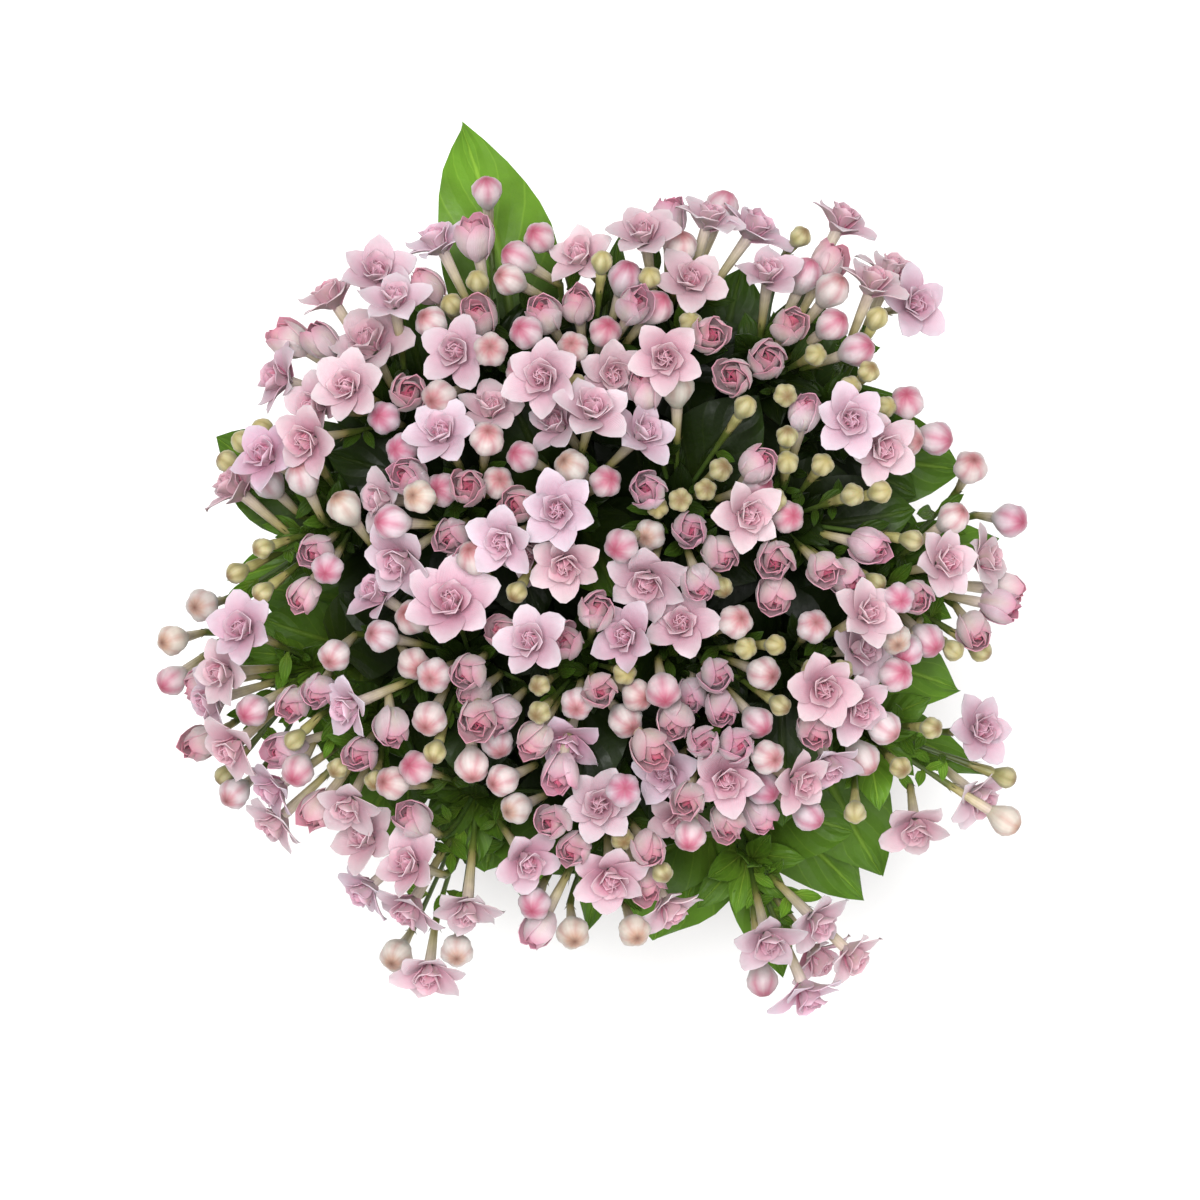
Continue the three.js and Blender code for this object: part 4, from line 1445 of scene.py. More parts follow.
HALF_RINGS = (
    PetalRing(
        count=5, length=2.2, half_width=0.42, root_radius=0.28, root_height=-1.2,
        slopes=(34, 88, 122), hollow=0.95, colours=((240, 214, 208), (240, 206, 214), (232, 164, 184)),
        back=(246, 224, 226), point=0.4, overlap=0.1, wild=6),
    PetalRing(
        count=4, length=1.85, half_width=0.46, root_radius=0.2, root_height=-0.95,
        slopes=(44, 92, 130), hollow=0.68, colours=((236, 166, 184), (240, 178, 194), (230, 146, 168)),
        back=(245, 208, 214), point=0.3, overlap=0.1, start=0.4, wild=6),
    PetalRing(
        count=3, length=1.5, half_width=0.46, root_radius=0.12, root_height=-0.8,
        slopes=(56, 94, 142), hollow=0.42, colours=((212, 84, 118), (226, 112, 142), (214, 86, 122)),
        back=(234, 142, 162), point=0.2, overlap=0.08, start=0.7, wild=6),
)


@dataclass(frozen=True)
class BudColours:
    """A closed bud's colours: its body from neck to tip, its seams and its keels."""

    body: tuple[tuple[float, Colour], ...]
    seam: Colour
    keel: Colour


class BudKind(Enum):
    """The colourings that closed buds come in."""

    BROWN_TIPPED = BudColours(
        ((0, (160, 160, 92)), (0.35, (192, 188, 124)), (0.88, (214, 204, 148)), (1, (140, 104, 56))),
        seam=(166, 154, 92), keel=(230, 224, 178))
    GREEN = BudColours(
        ((0, (160, 160, 92)), (0.35, (192, 188, 124)), (0.88, (214, 204, 148)), (1, (204, 190, 118))),
        seam=(166, 154, 92), keel=(230, 224, 178))
    CREAM = BudColours(
        ((0, (224, 216, 186)), (0.35, (245, 237, 222)), (0.88, (243, 230, 217)),
         (0.97, (212, 168, 142)), (1, (132, 84, 62))), seam=(226, 184, 172), keel=(250, 244, 232))
    BLUSH = BudColours(
        ((0, (228, 214, 194)), (0.35, (246, 234, 230)), (0.86, (243, 222, 221)),
         (0.97, (214, 142, 146)), (1, (150, 74, 72))), seam=(224, 154, 166), keel=(250, 242, 239))
    PINK = BudColours(
        ((0, (230, 214, 202)), (0.35, (245, 230, 232)), (0.82, (240, 205, 215)),
         (0.96, (218, 126, 152)), (1, (182, 66, 96))), seam=(222, 130, 158), keel=(250, 238, 240))

    @classmethod
    def pick(cls, green: bool, draw: float) -> BudKind:
        """Picks a bud's colouring.

        Args:
            green: Whether it is a small green bud.
            draw: A number from 0 to 1 that decides.

        Returns:
            The colouring.
        """
        if green:
            return cls.BROWN_TIPPED if draw > 0.4 else cls.GREEN
        if draw < 0.22:
            return cls.CREAM
        return cls.BLUSH if draw < 0.6 else cls.PINK


@dataclass
class Habit:
    """What sets one flower apart: its run of numbers, its tint, and how far its petals flush."""

    random: SeededRandom
    tint: np.ndarray
    flush: float

    @classmethod
    def of(cls, flower: Flower) -> Habit:
        """Draws a flower's habit, with a tint from lilac to warm pink.

        Args:
            flower: The flower.

        Returns:
            Its habit.
        """
        random = SeededRandom(int(flower.column * 977 + flower.row * 13))
        warm, light = random.between(-1, 1), random.between(0.9, 1.06)
        tint = light * np.array([1 + 0.01 * warm, 1 - 0.03 * abs(warm), 1 - 0.05 * warm])
        return cls(random, tint, random.draw() ** 2)


@dataclass
class FlowerMaker:
    """Makes the flowers and buds of a head: petals, buds, tubes, pedicels and calyx spikes."""

    petal: Shape = field(default_factory=lambda: Bench.sheet(4, 6))
    tube: Shape = field(default_factory=lambda: Bench.sleeve(8, 10))
    bud: Shape = field(default_factory=lambda: Bench.ball(20, 8))
    spike: Shape = field(default_factory=lambda: Bench.spike(4))
    thickness: float = 0.3
    steps: int = 12
    bore: float = 1.6
    pleats: tuple[float, float] = (0.91, 1.05)
    spikes: int = 4
    spike_ring: float = 0.75
    spike_radii: tuple[float, float] = (0.28, 0.42)
    keel_green: Colour = (206, 206, 160)
    flush: tuple[float, float, float] = (0.06, 0.3, 0.2)
    necks: dict[Stage, tuple[float, float]] = field(default_factory=lambda: {
        Stage.FULL: (0.16, -0.2), Stage.OPEN: (0.175, -0.2), Stage.HALF: (0.31, -1.12),
        Stage.BALLOON: (0.36, -1.1), Stage.GREEN: (0.4, -1.0)})

    def grow(self, heap: Heap, flower: Flower, shoot: Shoot) -> None:
        """Grows one flower onto its head's heap.

        Args:
            heap: The head's heap.
            flower: The flower.
            shoot: The shoot that bears it.
        """
        habit = Habit.of(flower)
        random = habit.random
        hint = np.array([math.cos(flower.turn), math.sin(flower.turn), 0.3])
        axes = sideways(flower.face, hint)
        if flower.stage in (Stage.FULL, Stage.OPEN):
            extra = 1 if flower.stage is Stage.FULL or random.draw() < 0.4 else 0
            sharper = random.between(-0.5, 0.2)
            for ring in OPEN_RINGS:
                self.petals(heap, flower, axes, ring, habit, extra, sharper=sharper)
                extra = 0
        elif flower.stage is Stage.HALF:
            closing = random.between(-12, 14)
            for ring in HALF_RINGS:
                self.petals(heap, flower, axes, ring, habit, closing=closing)
        else:
            self.closed_bud(heap, flower, axes, habit)
        self.stalk(heap, flower, shoot, habit)
        self.calyx(heap, flower, sideways(flower.axis, hint), random)

    def petals(self, heap: Heap, flower: Flower, axes: tuple[np.ndarray, np.ndarray], ring: PetalRing,
               habit: Habit, extra: int = 0, closing: float = 0, sharper: float = 0) -> None:
        """Adds a ring of petals.

        Args:
            heap: The head's heap.
            flower: The flower.
            axes: Two directions square to the way that it faces.
            ring: What the petals are like.
            habit: What sets the flower apart.
            extra: How many petals more than usual the ring has.
            closing: By how many degrees more the petals' tips bend inwards.
            sharper: How much more pointed than usual the petals are.
        """
        u, v, _ = self.petal.points.T
        count = ring.count + extra
        point = min(max(ring.point + sharper, 0), 1)
        for number in range(count):
            heading = TURN * (number + ring.start + habit.random.between(-0.08, 0.08)) / count
            out = axes[0] * math.cos(heading) + axes[1] * math.sin(heading)
            points = self.petal_points(flower, ring, out, habit.random, closing, point)
            blade = np.stack([u / 2 + 0.5, v + 3 * number], axis=1)
            heap.add(self.petal, points, self.petal_paint(ring, habit), blade)

    def petal_points(self, flower: Flower, ring: PetalRing, out: np.ndarray, random: SeededRandom,
                     closing: float, point: float) -> np.ndarray:
        """Bends a petal along its length and hollows it across, a little in its own way.

        Args:
            flower: The flower.
            ring: What the petal is like.
            out: The outward way that it points.
            random: The flower's run of numbers.
            closing: By how many degrees more its tip bends inwards.
            point: How pointed it is, from 0 to 1.

        Returns:
            Its points.
        """
        reach = flower.reach
        u, v, w = self.petal.points.T
        length = ring.length * reach * random.between(0.9, 1.08)
        bends = [math.radians(slope + ring.wild * random.between(-1, 1)) for slope in ring.slopes]
        bends[2] += math.radians(closing)
        run = np.linspace(0, 1, self.steps + 1)
        slope = (1 - run) ** 2 * bends[0] + 2 * run * (1 - run) * bends[1] + run**2 * bends[2]
        middles = (slope[1:] + slope[:-1]) / 2
        outs = np.concatenate([[0], np.cumsum(np.cos(middles)) / self.steps])
        ups = np.concatenate([[0], np.cumsum(np.sin(middles)) / self.steps])
        tilt = np.interp(v, run, slope)
        rise = flower.face * np.cos(tilt)[:, None] - out * np.sin(tilt)[:, None]
        away = ring.root_radius * reach + np.interp(v, run, outs) * length
        height = ring.root_height * reach + np.interp(v, run, ups) * length
        bow = ring.hollow * reach
        half = ring.half_width * length * self.outline(v, point)
        angle = u * half / bow
        lift = (1 - np.cos(angle)) * bow + u * ring.overlap * reach + w * self.thickness / 2
        lift += 0.03 * length * np.sin(v * 7 + random.between(0, 6)) * u * v
        across = np.cross(flower.face, out) * (np.sin(angle) * bow)[:, None]
        return (flower.centre + out * away[:, None] + flower.face * height[:, None] + across
                + rise * lift[:, None])

    def petal_paint(self, ring: PetalRing, habit: Habit) -> np.ndarray:
        """Colours a petal: paler towards its tip, its back with a greenish keel.

        Args:
            ring: What the petal is like.
            habit: What sets the flower apart.

        Returns:
            A colour for each of its points.
        """
        u, v, w = self.petal.points.T
        root, middle, tip = ring.colours
        face = ramp([(0, root), (0.45, middle), (1, tip)], np.clip(v + 0.18 * np.abs(u) ** 2, 0, 1))
        back = ramp([(0, ring.back), (0.7, ring.back), (1, tip)], v)
        keel = np.clip(1 - 2 * np.abs(u), 0, 1) * np.clip(1.1 - v, 0, 1) * habit.random.between(0.2, 0.7)
        back = back + (linear(self.keel_green) - back) * keel[:, None]
        flush = np.clip(1.15 - v, 0, 1) * habit.flush
        paint = np.where(w[:, None] > 0, face, back) * habit.tint
        return paint * (1 - flush[:, None] * np.array(self.flush))

    @staticmethod
    def outline(v: np.ndarray, point: float) -> np.ndarray:
        """Shapes a petal's edge.

        Args:
            v: Shares of the way from its root to its tip.
            point: How pointed it is, from 0 to 1.

        Returns:
            Its half width at each, as a share of the widest.
        """
        places = (0, 0.2, 0.4, 0.6, 0.78, 0.9, 1)
        blunt = np.interp(v, places, (0.42, 0.74, 0.95, 1, 0.88, 0.66, 0.3))
        sharp = np.interp(v, places, (0.36, 0.74, 0.98, 0.94, 0.68, 0.38, 0.04))
        return point * sharp + (1 - point) * blunt

    def closed_bud(self, heap: Heap, flower: Flower, axes: tuple[np.ndarray, np.ndarray],
                   habit: Habit) -> None:
        """Adds a closed bud of five pleated lobes, each with a keel, that meet in seams.

        Args:
            heap: The head's heap.
            flower: The bud.
            axes: Two directions square to the way that it faces.
            habit: What sets the bud apart.
        """
        reach, green = flower.reach, flower.stage is Stage.GREEN
        x, y, z = self.bud.points.T
        share = (z + 1) / 2
        around = np.arctan2(y, x)
        place = np.rint(around / TURN * 20).astype(int) % 4
        seam, keel = place == 0, place == 2
        pleat = np.where(seam, self.pleats[0], np.where(keel, self.pleats[1], 1.0))
        pleat = 1 + (pleat - 1) * np.clip(share * 2.2, 0, 1)
        low = -1.25 if green else -1.3
        height = (low + (1.1 - low) * share) * reach
        neck = self.necks[flower.stage][0]
        body = np.interp(share, (0, 0.04, 0.15, 0.31, 0.5, 0.69, 0.85, 0.96, 1),
                         (neck, neck + 0.04, neck + 0.2, 0.8, 1.0, 1.0, 0.76, 0.42, 0.05))
        radius = body * reach * pleat
        around = around + (share - 0.5) * habit.random.between(0.1, 0.6)
        points = (flower.centre + flower.face * height[:, None]
                  + axes[0] * (radius * np.cos(around))[:, None]
                  + axes[1] * (radius * np.sin(around))[:, None])
        colours = BudKind.pick(green, habit.random.draw()).value
        paint = ramp(colours.body, share)
        above = np.clip((share - 0.2) * 2.5, 0, 1)[:, None] * np.clip((1.02 - share) * 5, 0, 1)[:, None]
        paint = paint + (linear(colours.seam) - paint) * (0.7 * above * seam[:, None])
        paint = (paint + (linear(colours.keel) - paint) * (0.6 * above * keel[:, None])) * habit.tint
        heap.add(self.bud, points, paint, np.stack([around / TURN + 0.5, share], axis=1))

    def stalk(self, heap: Heap, flower: Flower, shoot: Shoot, habit: Habit) -> None:
        """Adds a flower's pedicel and tube in one run from the fork to its limb.

        Args:
            heap: The head's heap.
            flower: The flower.
            shoot: The shoot that bears it.
            habit: What sets the flower apart.
        """
        width, height = self.necks[flower.stage]
        neck = flower.centre + flower.axis * height * flower.reach
        foot = flower.foot
        start = shoot.fork - shoot.lean * 3 + (flower.origin - shoot.fork) * 0.25
        leave = (flower.origin - start) * 1.6 + shoot.lean * 2
        arrive = flower.axis * float(np.linalg.norm(foot - start)) * 0.9
        x, y, z = self.tube.points.T
        levels = np.unique(np.round(z, 4))
        path = []
        for share in levels:
            if share <= 0.5:
                t = share * 2
                path.append((2 * t**3 - 3 * t**2 + 1) * start + (t**3 - 2 * t**2 + t) * leave
                            + (3 * t**2 - 2 * t**3) * foot + (t**3 - t**2) * arrive)
            else:
                path.append(foot + (neck - foot) * (share - 0.5) * 2)
        radii = np.interp(levels, (0, 0.3, 0.45, 0.52, 0.6, 0.8, 0.9, 1),
                          (0.85, 0.75, 0.9, 1.4, 1.25, self.bore, self.bore * 1.1,
                           max(width * flower.reach, 1.1)))
        greenish = flower.stage is Stage.GREEN
        middle = (190, 184, 112) if greenish else (236, 222, 184)
        top = (204, 198, 134) if greenish else (246, 226, 212)
        paint = ramp([(0, (56, 88, 26)), (0.35, (84, 112, 38)), (0.5, (108, 122, 44)),
                      (0.6, (196, 184, 116)), (0.8, middle), (1, top)], z)
        shade = np.where(z > 0.6, 1, habit.random.between(0.8, 1.15))
        paint = paint * shade[:, None] * habit.tint
        blade = np.stack([np.arctan2(y, x) / TURN + 0.5, z], axis=1)
        heap.add(self.tube, along_path(np.array(path), radii, self.tube), paint, blade, 1)

    def calyx(self, heap: Heap, flower: Flower, axes: tuple[np.ndarray, np.ndarray],
              random: SeededRandom) -> None:
        """Adds the slim spikes of the calyx round the foot of the tube.

        Args:
            heap: The head's heap.
            flower: The flower.
            axes: Two directions square to its axis.
            random: The flower's run of numbers.
        """
        x, y, z = self.spike.points.T
        for number in range(self.spikes):
            angle = TURN * (number + random.between(-0.15, 0.15)) / self.spikes
            out = axes[0] * math.cos(angle) + axes[1] * math.sin(angle)
            way = unit(flower.axis + out * random.between(0.15, 0.5))
            length = random.between(2.6, 5.2)
            across = sideways(way, out)
            points = (flower.foot + out * self.spike_ring + way * (z * length)[:, None]
                      + across[0] * (x * self.spike_radii[0])[:, None]
                      + across[1] * (y * self.spike_radii[1])[:, None])
            paint = ramp([(0, (96, 118, 46)), (0.6, (70, 92, 34)), (1, (86, 66, 34))], z)
            heap.add(self.spike, points, paint, np.stack([x * 0, z], axis=1), 1)


def along_path(path: np.ndarray, radii: np.ndarray, sleeve: Shape) -> np.ndarray:
    """Lays an upright sleeve along a path.

    Args:
        path: The middle of each of the sleeve's rings.
        radii: The radius at each.
        sleeve: A sleeve of as many rings, from height 0 to 1.

    Returns:
        The sleeve's points on the path.
    """
    x, y, z = sleeve.points.T
    index = np.rint(z * (len(path) - 1)).astype(int)
    ways = np.gradient(path, axis=0)
    ways /= np.maximum(np.linalg.norm(ways, axis=1, keepdims=True), 1e-9)
    first = np.zeros_like(path)
    hint = EAST if abs(ways[0] @ EAST) < 0.9 else np.array([0.0, 1.0, 0.0])
    for k, way in enumerate(ways):
        hint = unit(hint - way * (hint @ way))
        first[k] = hint
    second = np.cross(ways, first)
    spread = radii[index][:, None]
    return path[index] + (first[index] * x[:, None] + second[index] * y[:, None]) * spread


@dataclass
class LeafMaker:
    """Makes leaves: pointed ovals, folded along the midrib, waved at the edge, with a petiole."""

    dome: Dome
    blade: Shape = field(default_factory=lambda: Bench.sheet(8, 12))
    small: Shape = field(default_factory=lambda: Bench.sheet(4, 6))
    small_length: float = 24
    thickness: float = 0.35
    fold: tuple[float, float] = (0.1, 0.26)
    waves: tuple[float, float] = (1.3, 2.2)
    back_tone: Colour = (128, 154, 84)
    # The least share of full colour that the painted shade leaves on leaf skin, deep inside the crown.
    shade: float = 0.08

    def grow(self, heap: Heap, leaf: Leaf, random: SeededRandom, finish: int, fresh: float) -> None:
        """Adds one leaf.

        Args:
            heap: The heap of the piece that bears it.
            leaf: Its place and size.
            random: The leaf's run of numbers.
            finish: The number of the leaf material in that piece.
            fresh: How young and bright it is, from 0 to 1.
        """
        length = math.dist(leaf.root, leaf.tip)
        big = length > self.small_length
        shape = self.blade if big else self.small
        u, v, w = shape.points.T
        side, ups = leaf.sides(v)
        half = leaf.half_width * self.outline(v)
        lift = random.between(*self.fold) * np.abs(u) * half
        phase, waves = random.between(0, TURN), random.between(*self.waves)
        lift += 0.03 * length * np.abs(u) ** 2 * np.sin(TURN * waves * v + phase + 2 * np.sign(u))
        lift -= 0.05 * length * np.clip(v - 0.72, 0, 1) * random.between(0, 3)
        lift += w * self.thickness / 2
        curve = random.between(-0.05, 0.05) * length * np.sin(math.pi * v)
        points = leaf.rib(v) + side * (u * half + curve)[:, None] + ups * lift[:, None]
        old = ramp([(0, (98, 128, 36)), (0.5, (78, 114, 26)), (1, (82, 120, 30))], v)
        young = ramp([(0, (152, 188, 68)), (0.5, (128, 178, 52)), (1, (118, 170, 50))], v)
        top = old + (young - old) * fresh
        under = top * 0.6 + linear(self.back_tone) * 0.4
        paint = np.where(w[:, None] > 0, top, under) * random.between(0.85, 1.2)
        # Painted shade: leaf colour darker deep inside the crown, full at the plant's outside.
        paint = paint * self.painted_shade(points)[:, None]
        blade = np.stack([u / 2 + 0.5, v * (1 if big else 0.4)], axis=1)
        heap.add(shape, points, paint, blade, finish)

    def painted_shade(self, points: np.ndarray) -> np.ndarray:
        """Painted shade on leaf skin: full colour at the plant's outside, darker deep inside the crown
        where shade falls.

        Args:
            points: Places on leaves.

        Returns:
            The share of its full colour that the painted shade leaves on the skin at each.
        """
        dome = self.dome
        x, y, z = points.T
        reach = np.where(y > dome.centre_y, dome.reach_north, dome.reach_south)
        out = np.hypot((x - dome.centre_x) / dome.half_width, (y - dome.centre_y) / reach)
        top = dome.skirt + dome.depth * np.sqrt(1 - np.minimum(out, dome.rim_share) ** 2)
        girth = np.interp(z, (110, 160, 190, 215), (0.28, 0.42, 0.62, 0.86))
        rim = np.interp(z, (195, 228), (0.4, 0.65))
        from_top = np.clip(0.8 - (top - z) / 28, 0, 0.6)
        from_side = np.clip((out / girth - rim) / 0.32, 0, 1)
        return self.shade + (1 - self.shade) * np.maximum(from_top, from_side)

    @staticmethod
    def outline(v: np.ndarray) -> np.ndarray:
        """A leaf's half width along its length, as a share of the widest."""
        return np.interp(v, (0, 0.1, 0.16, 0.25, 0.36, 0.48, 0.6, 0.72, 0.83, 0.92, 1),
                         (0.06, 0.08, 0.36, 0.76, 0.98, 1.04, 1.0, 0.84, 0.58, 0.29, 0.02))


@dataclass
class StemMaker:
    """Makes stems: round, slightly swollen where leaves spring, greener towards the top."""

    rings: int = 30
    sleeve: Shape = field(init=False)
    foot_radius: float = 2.4
    tip_radius: float = 1.6
    joint_radius: float = 2.45
    joint_taper: float = 0.4
    sunk: float = 12

    def __post_init__(self) -> None:
        """Models the sleeve that every stem is laid out from."""
        self.sleeve = Bench.sleeve(10, self.rings)

    def grow(self, heap: Heap, shoot: Shoot) -> None:
        """Adds a shoot's stem, from under the soil to its collar.

        Args:
            heap: The stem piece's heap.
            shoot: The shoot.
        """
        x, y, z = self.sleeve.points.T
        knots = [shoot.foot - UP * self.sunk,
                 *(shoot.stem_point(k / shoot.STEPS) for k in range(shoot.STEPS + 1))]
        path = smooth_path(np.array(knots), self.rings + 1)
        shares = np.linspace(0, 1, self.rings + 1)
        radii = self.foot_radius + (self.tip_radius - self.foot_radius) * shares
        for leaf in shoot.leaves:
            near = int(np.argmin(np.linalg.norm(path - leaf.root, axis=1)))
            radii[near] = max(radii[near], self.joint_radius - self.joint_taper * shares[near])
        paint = ramp([(0, (96, 84, 50)), (0.3, (88, 100, 44)), (0.7, (76, 110, 38)),
                      (1, (84, 118, 42))], z)
        blade = np.stack([np.arctan2(y, x) / TURN + 0.5, z * 4], axis=1)
        heap.add(self.sleeve, along_path(path, radii, self.sleeve), paint, blade, 1)

    def stalk(self, heap: Heap, shoot: Shoot, sleeve: Shape) -> None:
        """Adds the stalk between a stem's collar and the fork of its head.

        Args:
            heap: The head's heap.
            shoot: The shoot.
            sleeve: The sleeve that the stalk is laid out from.
        """
        x, y, z = sleeve.points.T
        start, end = shoot.collar - shoot.lean * 1.0, shoot.fork - shoot.lean * 1.5
        shares = np.linspace(0, 1, len(np.unique(np.round(z, 4))))
        path = start + (end - start) * shares[:, None]
        radii = np.interp(shares, (0, 0.6, 0.85, 1), (self.tip_radius, self.tip_radius, 2.5, 1.2))
        paint = ramp([(0, (84, 118, 42)), (1, (88, 120, 44))], z)
        blade = np.stack([np.arctan2(y, x) / TURN + 0.5, z], axis=1)
        heap.add(sleeve, along_path(path, radii, sleeve), paint, blade, 1)


def smooth_path(knots: np.ndarray, count: int) -> np.ndarray:
    """A smooth run of points through some knots.

    Args:
        knots: The points that it passes through, in order.
        count: How many points to give.

    Returns:
        The run.
    """
    padded = np.vstack([2 * knots[0] - knots[1], knots, 2 * knots[-1] - knots[-2]])
    points = []
    for share in np.linspace(0, len(knots) - 1, count):
        k = min(int(share), len(knots) - 2)
        t = share - k
        a, b, c, d = padded[k : k + 4]
        points.append(0.5 * (2 * b + (c - a) * t + (2 * a - 5 * b + 4 * c - d) * t**2
                             + (3 * b - a - 3 * c + d) * t**3))
    return np.array(points)


# The pieces


def mount(piece: bpy.types.Object, slot: str, *nodes: str) -> None:
    """Seats a finished piece on the plant's body in place of its solids.

    Args:
        piece: The piece.
        slot: The name of a material slot; not used.
        nodes: The solids that it stands for.
    """
    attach(piece, "root")
    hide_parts(*nodes)
    LOG.info("%s: %d faces", piece.name, len(piece.data.polygons))


@dataclass
class Plant:
    """The plant itself: every head of flowers and every leafy stem."""

    plan: Plan
    finishes: Finishes
    flowers: FlowerMaker = field(default_factory=FlowerMaker)
    stems: StemMaker = field(default_factory=StemMaker)
    leaves: LeafMaker = field(init=False)
    bracts: int = 9
    bract_breadths: tuple[float, float] = (0.21, 0.18)
    bract_places: tuple[float, ...] = (0.35, 0.7, 0.7)
    rim_reach: float = 90
    crease: float = 50

    def __post_init__(self) -> None:
        """Lets the leaves know the crown's shape."""
        self.leaves = LeafMaker(self.plan.dome)

    def build(self) -> None:
        """Builds all the plant's pieces."""
        for shoot in self.plan.shoots:
            self.head(shoot)
            self.stem(shoot)

    def head(self, shoot: Shoot) -> None:
        """Builds one head: its flowers, its stalk, and young leaves round its fork and pedicels.

        Args:
            shoot: The shoot that bears it.
        """
        number = shoot.head + 1
        heap = Heap(f"flower_head_{number:02d}")
        for flower in shoot.flowers:
            self.flowers.grow(heap, flower, shoot)
        self.stems.stalk(heap, shoot, self.flowers.tube)
        random = SeededRandom(4001 + number)
        axes = sideways(shoot.lean, EAST)
        rim = min(math.hypot(shoot.fork[0], shoot.fork[1]) / self.rim_reach, 1)
        for k in range(self.bracts):
            turn = TURN * (k + random.between(-0.3, 0.3)) / self.bracts
            out = axes[0] * math.cos(turn) + axes[1] * math.sin(turn)
            way = unit(shoot.lean * random.between(0.4, 1.6) + out)
            root = shoot.fork + shoot.lean * random.between(-6, 3)
            length = random.between(11, 20) + 12 * random.draw() * rim
            self.bract(heap, root, way, length, self.bract_breadths[0], random)
        for flower in shoot.flowers:
            for share in self.bract_places:
                turn = TURN * random.draw()
                out = axes[0] * math.cos(turn) + axes[1] * math.sin(turn)
                way = unit(flower.axis * random.between(0.3, 1.4) + out)
                root = flower.origin + (flower.foot - flower.origin) * share
                self.bract(heap, root, way, random.between(5, 13), self.bract_breadths[1], random)
        materials = [self.finishes.petal, self.finishes.stem, self.finishes.leaf]
        mount(heap.build(materials, self.crease), "flowers", f"head_{number:02d}")

    def bract(self, heap: Heap, root: np.ndarray, way: np.ndarray, length: float, breadth: float,
              random: SeededRandom) -> None:
        """Adds one small young leaf to a head.

        Args:
            heap: The head's heap.
            root: Where it springs.
            way: The way that it points.
            length: Its length.
            breadth: Half its width, as a share of its length.
            random: The head's run of numbers.
        """
        leaf = Leaf(root, root + way * length, 0.1 * length, breadth * length)
        self.leaves.grow(heap, leaf, random, 2, random.between(0.2, 1.0))

    def stem(self, shoot: Shoot) -> None:
        """Builds one leafy stem, whose leaves are younger towards the top.

        Args:
            shoot: The shoot.
        """
        number = shoot.head + 1
        heap = Heap(f"leafy_stem_{number:02d}")
        self.stems.grow(heap, shoot)
        random = SeededRandom(7001 + number)
        for leaf in shoot.leaves:
            height = min(max((leaf.root[2] - 130) / 90, 0), 1)
            self.leaves.grow(heap, leaf, random, 0, height * random.between(0, 0.7))
        materials = [self.finishes.leaf, self.finishes.stem]
        mount(heap.build(materials, self.crease), "foliage", f"stem_{number:02d}")


@dataclass
class Pot:
    """The plain round clay pot with its rim band and drain holes."""

    finishes: Finishes
    height: float = 112
    foot_radius: float = 43
    body_radius: float = 59
    band_bottom: float = 88
    band_radius: float = 62.5
    lip_radius: float = 65
    wall: float = 5
    floor: float = 6
    drain_radius: float = 5
    drain_ring: float = 24
    drain_count: int = 3
    sides: int = 96
    edge_width: float = 0.9
    sharp_from: float = 22
    smooth_to: float = 35

    def inner(self, z: float) -> float:
        """The inside radius at a height."""
        return self.foot_radius + (self.body_radius - self.foot_radius) / self.band_bottom * z - self.wall

    def build(self) -> None:
        """Turns the pot, cuts its drain holes and rounds its edges."""
        top = self.height
        outline = [
            (self.foot_radius - 1.5, 0), (self.foot_radius, 1.5), (self.body_radius, self.band_bottom),
            (self.band_radius, self.band_bottom + 1), (self.lip_radius, top - 2),
            (self.lip_radius - 2, top), (self.inner(top) + 1, top), (self.inner(top), top - 2),
            (self.inner(self.floor), self.floor),
        ]
        pot = Bench.turned("clay_pot", outline, self.sides)
        for k in range(self.drain_count):
            angle = TURN * (k + 0.25) / self.drain_count
            self.drill(pot, self.drain_ring * math.cos(angle), self.drain_ring * math.sin(angle))
        edge = pot.modifiers.new("edge", "BEVEL")
        edge.width, edge.segments, edge.limit_method = self.edge_width * MILLIMETRE, 3, "ANGLE"
        edge.angle_limit = math.radians(self.sharp_from)
        Bench.pick_out(pot)
        bpy.ops.object.modifier_apply(modifier=edge.name)
        bpy.ops.object.shade_smooth_by_angle(angle=math.radians(self.smooth_to))
        pot.data.materials.append(self.finishes.clay)
        mount(pot, "clay", "pot")

    def drill(self, pot: bpy.types.Object, x: float, y: float) -> None:
        """Cuts one drain hole through the pot's floor.

        Args:
            pot: The pot.
            x: How far along +X the hole is.
            y: How far along +Y.
        """
        Bench.clear_selection()
        bpy.ops.mesh.primitive_cylinder_add(
            vertices=24, radius=self.drain_radius * MILLIMETRE, depth=4 * self.floor * MILLIMETRE,
            location=(x * MILLIMETRE, y * MILLIMETRE, 0))
        bit = bpy.context.object
        cut = pot.modifiers.new("drain", "BOOLEAN")
        cut.operation, cut.object, cut.solver = "DIFFERENCE", bit, "EXACT"
        Bench.pick_out(pot)
        bpy.ops.object.modifier_apply(modifier=cut.name)
        bpy.data.objects.remove(bit)


